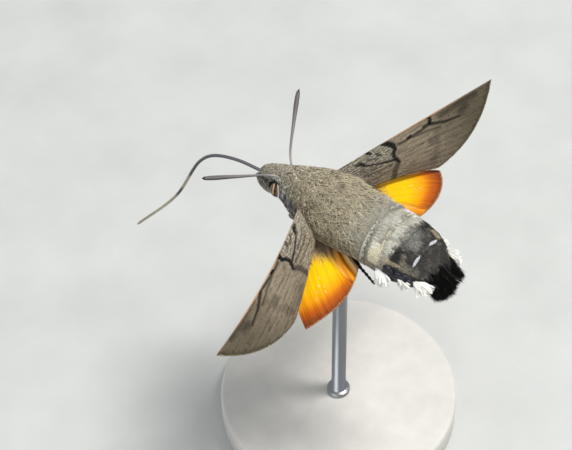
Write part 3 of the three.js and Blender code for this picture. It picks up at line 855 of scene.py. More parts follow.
def make_fur():
    """Short mixed fur on head and thorax, long pale tangled hair behind, flat scales on the abdomen."""
    y, turn = scatter(-8.25, -4.0, 0.115)
    fur("coat_head", y, turn, "body_fur")
    y, turn = scatter(-4.2, 2.2, 0.13)
    fur("coat_collar", y, turn, "body_fur", sweep=0.25)
    y, turn = scatter(1.8, 8.0, 0.145)
    kept = rng.uniform(size=len(y)) < smooth(8.2, 5.4, y)
    fur("coat_thorax", y[kept], turn[kept], "body_fur", sweep=0.25)
    y, turn = scatter(0.4, 8.2, 0.24, -1.4, 1.4)
    kept = rng.uniform(size=len(y)) < smooth(0.2, 3.2, y) * smooth(8.4, 6.0, y)
    fur("coat_long_hair", y[kept], turn[kept], "body_fur", tint=(THORAX_PALE * 1.2, 0.7), end=0.3,
        root_dark=0.9, tip_light=1.15)
    y, turn = scatter(6.4, 12.6, 0.13)
    fur("coat_abdomen_front", y, turn, "abdomen_scales", sunk=0.01, material=SATIN, flat=0.16,
        tip_light=1.04, root_dark=0.93)
    y, turn = scatter(12.3, 18.15, 0.11)
    fur("coat_abdomen_rear", y, turn, "abdomen_scales", sunk=0.01, material=SATIN, flat=0.2,
        tip_light=1.1, root_dark=0.78)


# The pale rear edges of the rings: y, first and last angle, colour and share of scales kept
RING_FRINGES = [
    (RING_EDGES[0], 18, 76, RING_PALE, 0.85),
    (RING_EDGES[1], 14, 96, RING_PALE, 1.0),
    (RING_EDGES[2], 16, 64, CREAM, 0.8),
]


def make_ring_fringes():
    """One row of short pale scales along the rear edge of each front ring."""
    for number, (edge, low, high, tone, share) in enumerate(RING_FRINGES):
        n = int(RING_FRINGE_SCALES * share)
        y = edge - 0.12 + rng.normal(size=n) * 0.025
        turn = np.radians(rng.uniform(low, high, n)) * rng.choice([-1, 1], n)
        y = y + 0.25 * (number == 2) * smooth(20, 65, np.degrees(np.abs(turn)))
        broken = mottle(np.stack([turn * 6, y], -1), 1.5, 40 + number) > 0.9 - 1.6 * share
        y, turn = y[broken], turn[broken]
        point, normal, back = skin_frame(y, turn)
        colour = mix(body_colour(y, turn, point), tone, rng.uniform(0.4, 1.0, len(y)))
        strands(f"ring_fringe_{number + 1}", point + normal * 0.07, normal, back,
                rng.uniform(0.12, 0.2, len(y)), 0.05, 0.1, 0.02, colour, skin_uv(y, turn),
                "abdomen_scales", SATIN, flat=0.2, tip_light=1.08, root_dark=0.85)


def make_white_patches():
    """Fluffy cream scales on the flanks ahead of the third ring."""
    n = PATCH_SCALES
    side = rng.choice([-1, 1], n)
    y, turn = rng.uniform(9.7, 11.4, n), np.radians(rng.uniform(38, 82, n)) * side
    middle = np.where(side > 0, 64, 56)
    kept = np.hypot((y - 10.5) / 0.75, (np.degrees(np.abs(turn)) - middle) / 18) < rng.uniform(0.8, 1.1, n)
    fur("white_patches", y[kept], turn[kept], "abdomen_scales", tint=(CREAM * 1.1, 0.6), end=0.3,
        flat=0.2, root_dark=0.92, tip_light=1.05)


# Scales round the eyes: part, first and last bearing in half turns from the rear, colour and number
EYE_RIMS = (("pale", -0.44, 0.6, WHITE, 640), ("dark", 0.66, 1.5, BLACK, 420))


def make_eye_rims():
    """A crescent of white scales behind each eye and a dark one in front of and below it."""
    _, _, _, centre = body_at(EYE_AT[1])
    middle = math.atan2(EYE_AT[0], EYE_AT[2] - centre)
    for part, low, high, tone, n in EYE_RIMS:
        bearing = rng.uniform(low, high, n) * math.pi
        reach = np.linspace(0.1, 2.0, 260)
        y = EYE_AT[1] + reach[None] * np.cos(bearing)[:, None]
        turn = middle + reach[None] * np.sin(bearing)[:, None] / 2.2
        free = clear_of_eyes(skin_point(y, turn), 0.01)
        first = np.minimum(np.argmax(free, 1) + rng.integers(1, 34, n), len(reach) - 1)
        row = np.arange(n)
        y, turn = y[row, first], turn[row, first]
        point, normal, back = skin_frame(y, turn)
        around = np.cross(normal, back)
        downward = np.sign(around[:, :1] * np.cos(turn)[:, None] + 1e-6)
        lie = unit(around * downward * np.cos(bearing)[:, None] - back * np.sin(bearing)[:, None])
        for label, side in SIDES:
            strands(f"eye_rim_{part}_{label}", *(sided(x, side) for x in (point, normal, lie)),
                    rng.uniform(0.18, 0.3, n), 0.055, 0.5, 0.05, tone * rng.uniform(0.9, 1.1, (n, 1)),
                    skin_uv(y, turn * side), "body_fur", end=0.3, root_dark=0.85, tip_light=1.0)


# White streaks along the rear edge of a ring, left and right: y and the angle at which each begins
STREAKS = ((15.12, 22), (15.14, 6))
STREAK_ARC = 18.48


def make_streaks():
    """Narrow white scales that lie end to end round the body, in one row on each side."""
    n = STREAK_SCALES
    for (label, side), (middle, first) in zip(SIDES, STREAKS):
        along = np.linspace(0, 1, n)
        y = middle + rng.uniform(-0.11, 0.11, n) * (1 - 0.7 * (2 * along - 1) ** 2)
        turn = np.radians(first + STREAK_ARC * along)
        point, normal, _ = skin_frame(y, turn)
        ahead, _, _ = skin_frame(y + 0.02, turn + 0.3)
        lie = unit(ahead - point)
        root, normal, lie = (sided(x, side) for x in (point + normal * 0.13, normal, lie))
        colour = mix(np.repeat(WHITE[None], n, 0), STREAK_BLUE, rng.uniform(0.4, 1.0, n))
        strands(f"white_streak_{label}", root, normal, lie, rng.uniform(0.3, 0.55, n), 0.1, 0.08, 0.1,
                colour, skin_uv(y, turn * side), "abdomen_scales", end=0.6, flat=0.12, tip_light=1.0,
                root_dark=0.95, rounded=False)


def make_palp_fur():
    """Down on the palps, pale beneath and grey on top."""
    sides, count = 40, 60
    for label, side in SIDES:
        points, _, uv, facing = palp_tube(side, sides, count)
        keep = rng.permutation(len(points) - 2)[:PALP_DOWN]
        path = spline(sided(PALP, side), count)
        forward = unit(np.gradient(path, axis=0))[np.minimum(keep // sides, count - 1)]
        normal = unit(facing[keep])
        grey = smooth(-0.5, 0.4, normal[:, 2])
        colour = mix(CHEST_WHITE + 0 * points[keep], HEAD_GREY, grey) * pepper(len(keep), 0.15, 0.2, 0.2)
        patch = UV_MARGIN + uv[keep] * [0.2, 0.1] + [0.3 if side > 0 else 0.6, 0.75]
        length = 0.34 * rng.uniform(0.7, 1.2, len(keep))
        strands(f"coat_palp_{label}", points[keep] - normal * 0.03, normal, forward, length, 0.055, 0.26,
                0.1, colour, patch, "body_fur")


# Brushes of long flat scales along the abdomen's sides, and the black tail brush


def make_flank_scales(label, side):
    """Glossy black scales under the side tufts, some tinted with a painted bluish sheen."""
    n = FLANK_SCALES
    y, turn = rng.uniform(12.2, 15.4, n), np.radians(rng.uniform(76, 116, n))
    point, normal, back = (sided(x, side) for x in skin_frame(y, turn))
    # Painted bluish sheen on some of the black scales
    tone = mix(np.repeat(BLACK[None], n, 0), BLUE_BLACK_SHEEN, rng.uniform(0, 1, n))
    strands(f"flank_scales_{label}", point - back * 0.3, normal, back, rng.uniform(0.9, 1.3, n),
            rng.uniform(0.4, 0.6, n), 0.1, 0.06, tone, skin_uv(y, turn * side), "abdomen_scales",
            GLOSSY_SCALES, end=0.45, flat=0.12, tip_light=1.15, root_dark=0.8)


def blades(y, turn, side, lean):
    """Roots, faces and ways of long scales that leave the flank backwards, outwards by lean and
    a little down."""
    point, normal, back = skin_frame(y, turn)
    lie = unit(normal * lean + back * 0.8 - np.array([0, 0, 0.12]) + rng.normal(size=point.shape) * 0.06)
    up = np.array([0.35, 0, 1.0]) + rng.normal(size=point.shape) * 0.2
    face = unit(up - lie * (up * lie).sum(-1, keepdims=True))
    return tuple(sided(x, side) for x in (point, face, lie))


# Rows of scales in a side tuft: how many for each of its broad scales, and shares of width and length.
# Its scales spread apart by the fan
TUFT_ROWS = ((3, 1.0, 1.0), (8, 0.4, 0.98), (3, 1.0, 0.75))
TUFT_FAN = (-0.3, 0.42, 0.1)


def make_side_tufts(label, side):
    """Brushes of broad blunt white scales, with finer ones between."""
    rows = []
    for number, (middle, angle, length, broad, *leans) in enumerate(SIDE_TUFTS):
        lean = leans[0] if side > 0 else leans[1]
        for per_scale, wide, reach in TUFT_ROWS:
            count = broad * per_scale
            share = np.linspace(-0.5, 0.5, count) + rng.normal(size=count) * 0.04
            turn = np.radians(angle - 4) + rng.uniform(-0.16, 0.16, count)
            y = middle + 0.15 + share * 2.2 * TUFT_WIDTH
            point, face, lie = blades(y, turn, side, lean)
            lie = unit(lie + sided(TUFT_FAN, side) * share[:, None])
            ragged = rng.uniform(0.82, 1.06, count) - 0.14 * (2 * share) ** 2
            width = TUFT_WIDTH * wide * rng.uniform(0.8, 1.1, count)
            warm = rng.uniform(0, 0.3, count) * (number > 0)
            colour = mix(np.repeat(WHITE[None], count, 0), CREAM, warm)
            colour = colour * rng.uniform(0.92, 1.04, (count, 1))
            rows.append((point - lie * 0.4, face, lie, (0.4 + length * reach) * ragged, width, colour,
                         skin_uv(y, turn * side)))
    root, face, lie, length, width, colour, uv = (np.concatenate(column) for column in zip(*rows))
    strands(f"side_tufts_{label}", root, face, lie, length, width, 0.0, 0.05, colour, uv,
            "abdomen_scales", end=0.6, flat=0.05, tip_light=1.05, root_dark=0.97, rounded=False)


def make_tail_brush():
    """Fine black brush of ragged clumps, parted a little right of the middle."""
    n, clumps = BRUSH_STRANDS, BRUSH_CLUMPS
    radius, angle = np.sqrt(rng.uniform(size=n)), rng.uniform(0, 2 * math.pi, n)
    a, b = radius * np.cos(angle), radius * np.sin(angle)
    start_y = 17.7 - 1.5 * radius**4 * rng.uniform(0.1, 1, n)
    half, above, below, centre = body_at(start_y)
    root = np.stack([(half - 0.25) * a, start_y, centre + (np.where(b > 0, above, below) - 0.25) * b], -1)
    clump_radius, clump_angle = np.sqrt(rng.uniform(size=clumps)), rng.uniform(0, 2 * math.pi, clumps)
    heads = np.stack([clump_radius * np.cos(clump_angle), clump_radius * np.sin(clump_angle)], -1)
    own = np.argmin(((np.stack([a, b], -1)[:, None] - heads[None]) ** 2).sum(-1), 1)
    drawn_in = 0.45
    tip_a = a + (heads[own, 0] - a) * drawn_in
    tip_b = b + (heads[own, 1] - b) * drawn_in
    ragged = rng.normal(size=clumps)[own] * 0.2 + rng.normal(size=n) * 0.12
    notch = 1.15 * np.exp(-(((tip_a + 0.34) / 0.16) ** 2)) + 0.35 * np.exp(-(((tip_a - 0.38) / 0.08) ** 2))
    tip_y = BRUSH_END - 0.6 * tip_a**2 + ragged - notch
    tip = np.stack([2.55 * tip_a, tip_y, -1.3 + tip_b - 0.35 * tip_a**2], -1)
    reach = (tip - root) * rng.uniform(0.72, 1.0, (n, 1))
    length = np.linalg.norm(reach, axis=1)
    normal = unit(np.stack([0.5 * a, 0 * a, np.where(b > -0.2, 1.0, -1.0)], -1))
    shade = np.exp(rng.normal(size=(n, 1)) * 0.35 + rng.normal(size=(clumps, 1))[own] * 0.25)
    brown = (rng.uniform(size=n) < 0.06) * smooth(0.5, 0.95, radius) * smooth(-0.3, 0.2, b)
    colour = mix(BLACK * 0.6 * shade, REAR_BROWN * 0.3, brown)
    turn = np.arctan2(a, b)
    uv = skin_uv(np.full(n, 16.6) + 1.6 * (1 - radius), turn)
    strands("tail_brush", root, normal, unit(reach), length, rng.uniform(0.045, 0.085, n), 0.05, 0.04,
            colour, uv, "tail_scales", VELVET, flat=0.3, tip_light=1.3, root_dark=0.6)
    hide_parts("tail_fan")


def make_stray_hairs():
    """A few white hairs on top of the tail brush."""
    n = STRAY_HAIRS
    k = np.arange(n)
    root = np.stack([-0.9 + 0.16 * k, 17.9 + 0.1 * (k % 3), -0.4 + 0 * k], -1)
    lie = unit(np.stack([0.25 * (k - 3) / 3 - 0.1, 1 + 0 * k, -0.4 + 0 * k], -1))
    strands("stray_hairs", root, np.tile([0, 0, 1.0], (n, 1)), lie, 1.75 + 0.12 * (k % 2), 0.045, 0.0,
            0.05, np.repeat(WHITE[None] * 0.8, n, 0), skin_uv(np.full(n, 16.0), 0.1 * k), "tail_scales")


# Wings


def wing_plan(wing, u, v):
    """Span and chord position of a point: u from root to margin, v from leading to trailing edge."""
    base = np.array(wing["base"][0]) + (np.array(wing["base"][1]) - wing["base"][0]) * v[..., None]
    tip, corner = np.array(wing["tip"]), np.array(wing["corner"])
    along = corner - tip
    out = -4 * wing["bulge"] * np.array([-along[1], along[0]]) / np.linalg.norm(along)
    end = tip + along * v[..., None] + out * (v * (1 - v))[..., None]
    plan = base + (end - base) * u[..., None]
    leading, trailing = wing["bows"]
    bow = leading + (trailing - leading) * v
    plan[..., 1] += 4 * bow * u * (1 - u)
    return plan


def wing_point(wing, u, v, side):
    """Middle surface of a wing in the moth's frame, with its outward normal."""
    plan = wing_plan(wing, u, v)
    span, chord = np.array(wing["span"]), np.array(wing["chord"])
    normal = unit(np.cross(span, chord))
    drop = wing["leading_drop"] * np.maximum(0, 1 - v / 0.45) ** 2 * smooth(0, 0.4, u)
    lift = wing["camber"] * 4 * v * (1 - v) * (1 - 0.7 * u) + wing["arch"] * 4 * u * (1 - u) * (1 - v) - drop
    point = np.array(wing["root"]) + span * plan[..., :1] + chord * plan[..., 1:] + normal * lift[..., None]
    return sided(point, side), sided(normal, side)


def vein_share(wing, u, v):
    """1 on a vein, falling to 0 beside it and weaker towards the margin."""
    most = np.zeros(u.shape)
    for k, at in enumerate(wing["veins"]):
        grown = 1.0
        if k in wing["cell_veins"]:
            grown = smooth(wing["cell_end"] - 0.02, wing["cell_end"] + 0.06, u)
        most = np.maximum(most, grown * np.exp(-(((v - at) / VEIN_WIDTH) ** 2)))
    cross = np.exp(-(((u - wing["cell_end"]) / 0.008) ** 2))
    before, beyond = wing["cell_veins"][0] - 1, wing["cell_veins"][-1] + 1
    inside = (v > wing["veins"][before]) & (v < wing["veins"][beyond])
    return np.maximum(most, cross * inside) * (1 - 0.5 * u)


# Colours of the forewing, the hindwing and the underside
FORE_BASE = linear(128, 120, 104)
FORE_GREY = linear(118, 107, 90)
FORE_PALE = linear(140, 128, 109)
FORE_DARK = linear(72, 66, 51)
FORE_BLACK = linear(8, 8, 8)
FORE_SILVER = linear(190, 185, 172)
COSTA_PINK = linear(200, 150, 112)
ORANGE = linear(255, 205, 0)
AMBER = linear(250, 158, 8)
RUST = linear(184, 82, 20)
MARGIN_BROWN = linear(96, 52, 30)
ANAL_PALE = linear(244, 184, 84)
ANAL_CREAM = linear(240, 206, 150)
DUSKY = linear(140, 124, 104)
UNDER_RUST = linear(176, 112, 52)
UNDER_YELLOW = linear(232, 176, 84)
# Dark marks of the forewing: points as span and chord, half widths, softness and strength
FORE_MARKS = [
    ([[5.75, -0.15], [6.2, 0.13], [6.9, 0.77], [6.93, 1.18], [6.46, 1.61]],
     [0.3, 0.3, 0.28, 0.22, 0.14], 0.1, 1.0),
    ([[6.46, 1.61], [6.39, 2.13], [6.83, 2.85]], [0.16, 0.17, 0.12], 0.25, 1.0),
    ([[6.83, 2.85], [6.09, 3.52], [5.6, 4.6]], [0.14, 0.2, 0.22], 0.35, 0.7),
    ([[1.6, 0.67], [2.8, 1.31], [4.11, 1.78], [6.4, 2.35]], [0.08, 0.06, 0.05, 0.1], 0.14, 0.9),
    ([[1.88, 2.26], [3.2, 2.5], [4.53, 2.63], [5.87, 2.7]], 0.04, 0.14, 0.65),
    ([[1.4, 1.5], [2.6, 1.95], [4.2, 2.2]], 0.04, 0.12, 0.6),
    ([[1.6, 3.1], [3.4, 3.2], [5.4, 3.3]], 0.04, 0.16, 0.5),
    ([[3.5, 0.0], [3.85, 0.28]], 0.14, 0.14, 1.0),
    ([[2.05, 0.7], [2.5, 1.02]], 0.13, 0.16, 1.0),
    ([[4.55, 0.7], [4.9, 1.0]], 0.1, 0.16, 0.8),
    ([[3.2, 0.75], [4.4, 1.2]], 0.05, 0.16, 0.7),
    ([[7.44, 0.9], [9.16, 0.98], [11.76, 0.8]], [0.04, 0.06, 0.07], 0.12, 0.8),
    ([[8.95, 0.87], [9.5, 0.82]], 0.11, 0.08, 1.0),
    ([[12.56, -0.08], [12.55, 0.3], [12.35, 0.66]], [0.24, 0.2, 0.18], 0.18, 1.0),
    ([[11.4, 0.62], [12.35, 0.7], [13.3, 1.05], [14.6, 1.45], [16.6, 1.75]],
     [0.03, 0.12, 0.07, 0.04, 0.01], 0.24, 0.9),
    ([[9.71, 1.08], [11.68, 1.28], [13.57, 1.68]], 0.04, 0.2, 0.65),
    ([[11.7, 2.6], [12.4, 2.68]], 0.16, 0.6, 0.5),
    ([[12.9, 1.8], [12.4, 3.4], [11.2, 5.2]], 0.06, 0.8, 0.3),
    ([[14.0, 0.45], [17.0, 0.35], [19.6, 0.4]], [0.02, 0.06, 0.02], 0.6, 0.55),
    ([[16.9, 1.25], [17.7, 0.85]], 0.05, 0.9, 0.5),
]


def wing_mottle(a, b, size, seed):
    """Mottling over two coordinates of a wing."""
    return mottle(np.stack([a, b], -1).reshape(-1, 2), size, seed).reshape(a.shape)


def fore_colour(wing, u, v, plan):
    """Grey-brown with fine streaks, a salt-and-pepper base, dark marks and a pinkish leading edge."""
    s, c = plan[..., 0], plan[..., 1]
    streaks = wing_mottle(s * 0.3, c * 2.2, 1.0, 11)
    fine = wing_mottle(s * 1.2, c * 3.2, 0.6, 12)
    mid_streaks = smooth(3.0, 6.0, s) * (1 - 0.6 * smooth(10.0, 15.0, s))
    front = (1 - smooth(5.0, 8.0, s)) * (1 - 0.7 * smooth(2.0, 3.0, c))
    # Painted light: on the paler wing the salt-and-pepper base is washed out
    front = front * (1 - 0.5 * wing["pale"])
    costa = (1 - smooth(0.006, 0.016, v)) * smooth(5.0, 7.0, s) * (1 - 0.8 * smooth(14.0, 20.0, s))
    dark = np.zeros(s.shape)
    for points, half, soft, strength in FORE_MARKS:
        dark = np.maximum(dark, strength * line_share(s, c, points, half, soft))
    colour = painted(
        FORE_BASE + 0 * s[..., None],
        (FORE_GREY, smooth(5.0, 8.0, s)),
        (FORE_PALE, band(s, 9.6, 2.2, 2.2) * band(c, 2.6, 1.4, 1.0) * 0.7),
        (FORE_PALE, band(c, 0.42, 0.2, 0.25) * band(s, 9.8, 2.4, 1.0) * 0.8),
        (FORE_DARK, smooth(12.0, 18.5, s + 0.6 * streaks) * 0.7),
        (FORE_DARK * 0.85, 0.4 * smooth(0.2, 1.2, streaks) * mid_streaks),
        (FORE_SILVER, 0.75 * smooth(0.2, 0.9, -fine) * front),
        (FORE_BLACK, 0.7 * smooth(0.4, 1.0, fine) * front),
        (FORE_PALE, 0.6 * band(c, 2.9, 0.5, 0.5) * (1 - smooth(4.5, 6.5, s))),
        (FORE_BLACK, dark),
        (FORE_DARK * 0.75, 0.4 * vein_share(wing, u, v) * smooth(6, 9, s)),
        (COSTA_PINK, costa * 0.8),
        (FORE_DARK * 0.6, 0.6 * smooth(0.96, 0.995, u)),
    )
    # Painted light: the paler wing is lit more brightly, most near its base
    return colour * (1 + wing["pale"] * (0.2 + 0.45 * smooth(8.0, 2.0, s)))[..., None]


def hind_colour(wing, u, v, plan):
    """Bright orange, rust to brown at the margin, dusky at the base, with paler folded anal part."""
    s, c = plan[..., 0], plan[..., 1]
    rays = wing_mottle(u * 1.6, v * 60, 1.7, 21)
    specks = wing_mottle(u * 14, v * 50, 1.5, 22)
    edge = u + 0.016 * rays + 0.03 * smooth(0.25, 0.0, v)
    fold = 0.53 + 0.34 * (u - 0.24)
    anal = smooth(0.0, 0.03, v - fold)
    inner = smooth(0.62, 0.3, u)
    speckled = band(c, 0.9, 0.5, 0.4) * band(s, 6.4, 1.2, 0.6)
    dusky = 1 - smooth(1.3, 3.5, s + 0.25 * rays + 0.8 * smooth(0.5, 0.9, v))
    return painted(
        ORANGE + 0 * s[..., None],
        (AMBER, smooth(0.68, 0.88, edge) * 0.95),
        (AMBER, 0.2 * smooth(0.2, 1.2, rays) * smooth(0.4, 0.7, u)),
        (RUST, smooth(0.82, 0.94, edge) * (0.95 - 0.3 * smooth(0.6, 0.85, v))),
        (MARGIN_BROWN, smooth(0.93, 1.0, edge) * (0.75 - 0.4 * smooth(0.6, 0.85, v))),
        (ANAL_PALE, anal * (0.9 - 0.5 * smooth(0.86, 1.0, edge))),
        (AMBER, 0.75 * anal * band(v, 0.83, 0.02, 0.05)),
        (ANAL_CREAM, 0.85 * smooth(0.9, 0.94, v)),
        (MARGIN_BROWN * 0.8, band(v - fold, 0.0, 0.006, 0.02) * (0.25 + 0.7 * inner)),
        (AMBER * 0.5, 0.8 * band(v, 0.865 + 0.02 * u, 0.005, 0.02) * smooth(0.3, 0.5, u)),
        (WHITE, 0.6 * smooth(1.1, 1.6, specks) * speckled),
        (DUSKY, dusky * 0.95),
        (ANAL_PALE, (1 - smooth(0.01, 0.05, v)) * 0.7 * (1 - smooth(0.7, 0.9, u))),
        (AMBER * 0.8, 0.2 * vein_share(wing, u, v) * smooth(0.4, 0.6, u)),
    )


def under_colour(_, u, v, plan):
    """Rust with a yellow base, a dark margin and two fine dark lines."""
    spots = wing_mottle(plan[..., 0], plan[..., 1], 0.8, 31)
    lines = [(FORE_DARK, 0.5 * band(u + 0.02 * np.sin(v * 18), at, 0.004, 0.02)) for at in (0.5, 0.64)]
    return painted(
        UNDER_RUST + 0 * plan[..., :1],
        (UNDER_YELLOW, 0.8 * (1 - smooth(0.2, 0.6, u))),
        (FORE_DARK * 0.9, smooth(0.8, 1.0, u + 0.03 * spots)),
        *lines,
        (UNDER_RUST * 0.7, 0.4 * smooth(0.4, 1.2, spots)),
    )


def wing_uv(u, v):
    """The unwrap of a wing's upper side. The underside lies half a width beside it."""
    return np.stack([u * 0.96 + 0.02, v * 0.46 + 0.02], -1)


def make_wing(kind, label, side, rows, columns, colour_of, material):
    """A thin closed membrane with raised veins, fine ripples and, on a hindwing, anal pleats."""
    wing = WINGS[f"{kind}_{label}"]
    u, v = np.meshgrid(np.linspace(0, 1, rows), np.linspace(0, 1, columns), indexing="ij")
    plan = wing_plan(wing, u, v)
    point, normal = wing_point(wing, u, v, side)
    rim = np.minimum(smooth(1.0, 0.94, u), np.minimum(smooth(0, 0.04, v), smooth(1, 0.96, v)) * 0.7 + 0.3)
    vein = vein_share(wing, u, v)
    ripple = 0.03 * np.sin(v * 60 + 2 * u) * smooth(0.3, 0.8, u) * (1 - vein)
    if kind == "hind":
        pleats = np.sin((v - 0.64) / 0.072 * math.pi) * smooth(0.62, 0.7, v) * smooth(0.1, 0.4, u)
        ripple += PLEAT_DEPTH * pleats
    thick = MEMBRANE / 2 * (0.35 + 0.65 * rim) + VEIN_HEIGHT * vein
    middle = point + normal * ripple[..., None]
    top, bottom = middle + normal * thick[..., None], middle - normal * thick[..., None]
    count = rows * columns
    grid = np.arange(count).reshape(rows, columns)
    edge = np.concatenate([grid[0], grid[1:, -1], grid[-1, -2::-1], grid[-2:0:-1, 0]])
    other = np.roll(edge, -1)
    quads = grid_faces(rows, columns)
    rim_quads = np.stack([edge, other, other + count, edge + count], -1)
    faces = np.vstack([quads[:, ::-1], quads + count, rim_quads])
    if side > 0:
        faces = faces[:, ::-1]
    points = np.vstack([top.reshape(-1, 3), bottom.reshape(-1, 3)])
    colours = np.vstack([paint(wing, u, v, plan).reshape(-1, 3) for paint in (colour_of, under_colour)])
    uv = wing_uv(u, v).reshape(-1, 2)
    uv = np.vstack([uv, uv + [0, 0.5]])
    slot = f"{kind}wing_scales"
    piece = mesh_piece(f"{kind}wing_skin_{label}", points, faces, colours, uv, material, slot)
    layer = piece.data.attributes.new("wing_plan", "FLOAT_VECTOR", "POINT")
    flat = np.concatenate([plan, np.zeros(plan.shape[:2] + (1,))], -1).reshape(-1, 3)
    layer.data.foreach_set("vector", np.vstack([flat, flat + [0, 0, 5]]).astype(np.float32).ravel())
    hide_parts(f"{kind}wing_{label}")


def make_wing_fringe(kind, label, side, colour_of):
    """Fine scales that stand out from the outer and trailing margins."""
    wing = WINGS[f"{kind}_{label}"]
    n = WING_FRINGE_SCALES
    along = rng.uniform(0, 1, n)
    on_margin = rng.uniform(size=n) < 0.7
    u = np.where(on_margin, 1.0, 0.3 + 0.7 * along)
    v = np.where(on_margin, along, 1.0)
    inset = 0.01
    point, normal = wing_point(wing, u, v, side)
    u_inner, v_inner = np.where(on_margin, u - inset, u), np.where(on_margin, v, v - inset)
    inner, _ = wing_point(wing, u_inner, v_inner, side)
    out = unit(point - inner)
    lie = unit(out + rng.normal(size=(n, 3)) * 0.08)
    tint = colour_of(wing, np.minimum(u, 0.93), np.minimum(v, 0.97), wing_plan(wing, u, v))
    cream = np.where(rng.uniform(size=n) < 0.4, 0.6, 0.15)
    tint = mix(tint, ANAL_CREAM * 0.8, cream) * rng.uniform(0.7, 1.2, (n, 1))
    length = FRINGE_LENGTH * rng.uniform(0.7, 1.15, n)
    strands(f"fringe_{kind}_{label}", point - out * 0.08, normal + 0 * point, lie, length, 0.055, 0.0,
            0.0, tint, wing_uv(u, v), f"{kind}wing_scales", flat=0.2, tip_light=1.1, root_dark=0.9)


# Scales or down over the wings' upper sides: span they start at, share of the wing they end at,
# number, length, width, lift, tangle, tint with its share, how much they vary, and end
COVERS = {
    "fore": (-1.0, 0.42, 4400, 0.28, 0.08, 0.06, 0.12, FORE_BASE, 0.1, 0.3, 0.5),
    "outer": (5.0, 1.0, 4600, 0.3, 0.07, 0.03, 0.08, FORE_BASE, 0.0, 0.12, 0),
    "hind": (-1.6, 0.52, 2200, 0.7, 0.05, 0.16, 0.25, DUSKY, 0.7, 0.2, 0),
}


def make_wing_cover(kind, label, side):
    """Scales or down on a wing's upper side, lying outwards."""
    low, high, n, length, width, lift, tangle, tint, tint_share, depth, end = COVERS[kind]
    part = "hind" if kind == "hind" else "fore"
    wing = WINGS[f"{part}_{label}"]
    u, v = rng.uniform(0, high, n), rng.uniform(0.02, 0.98, n)
    plan = wing_plan(wing, u, v)
    thin = rng.uniform(size=n) < smooth(high, high * 0.35, u) + (kind == "outer")
    keep = (plan[:, 0] > low) & thin & (u < 0.985)
    u, v, plan = u[keep], v[keep], plan[keep]
    point, normal = wing_point(wing, u, v, side)
    onward, _ = wing_point(wing, u + 0.02, v, side)
    lie = unit(unit(onward - point) + rng.normal(size=point.shape) * tangle)
    own = fore_colour if part == "fore" else hind_colour
    colour = mix(own(wing, u, v, plan), tint, np.full(len(u), tint_share))
    colour = colour * pepper(len(u), 0.25, 0.28, depth)
    strands(f"cover_{kind}_{label}", point + normal * 0.05, normal + 0 * point, lie,
            length * rng.uniform(0.7, 1.3, len(u)), width, lift, 0.05, colour, wing_uv(u, v),
            f"{part}wing_scales", end=end, flat=0.2, tip_light=1.08, root_dark=0.88)


def make_wings():
    for label, side in SIDES:
        make_wing("fore", label, side, 230, 104, fore_colour, FORE_SCALES)
        make_wing("hind", label, side, 150, 110, hind_colour, HIND_SCALES)
        make_wing_fringe("fore", label, side, fore_colour)
        make_wing_fringe("hind", label, side, hind_colour)
        for kind in COVERS:
            make_wing_cover(kind, label, side)


# Eyes

EYE_AMBER = linear(176, 102, 38)
EYE_PALE = linear(214, 188, 144)
EYE_LINE = linear(196, 172, 134)
EYE_BAND = linear(10, 8, 7)
EYE_DARK = linear(12, 10, 9)


def make_eyes():
    """Balls banded amber, pale and dark."""
    material = eye_material()
    rows, columns = 60, 90
    a = np.linspace(0.0, math.pi, rows)
    b = np.linspace(0, 2 * math.pi, columns, endpoint=False)
    a, b = np.meshgrid(a, b, indexing="ij")
    ball = np.stack([np.cos(a), np.sin(a) * np.cos(b), np.sin(a) * np.sin(b)], -1).reshape(-1, 3)
    along = ball[:, 1] - 0.35 * ball[:, 0]
    colour = painted(
        EYE_AMBER + 0 * ball,
        (EYE_PALE, band(along, -0.34, 0.1, 0.06)),
        (EYE_BAND, band(along, -0.02, 0.13, 0.06)),
        (EYE_DARK, smooth(-0.44, -0.52, along)),
        (EYE_LINE, 0.7 * band(along, -0.66, 0.03, 0.05)),
        (EYE_DARK, smooth(0.05, -0.2, ball[:, 2])),
    )
    uv = np.stack([a.ravel() / math.pi, b.ravel() / (2 * math.pi)], -1)
    faces = grid_faces(rows, columns, closed=True)
    for label, side in SIDES:
        points = sided(ball * EYE_RADII + EYE_AT, side)
        made = faces if side > 0 else faces[:, ::-1]
        piece = mesh_piece(f"eye_ball_{label}", points, made, colour, uv, material, "eye_shell")
        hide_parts(f"eye_{label}")


# Antennae, proboscis and legs

FEELER_DARK = linear(44, 40, 40)
FEELER_LIT_TOP = linear(132, 127, 128)
FEELER_BASE = linear(190, 182, 170)
FEELER_CLUB = linear(84, 80, 79)
FEELER_TIP = linear(20, 17, 17)


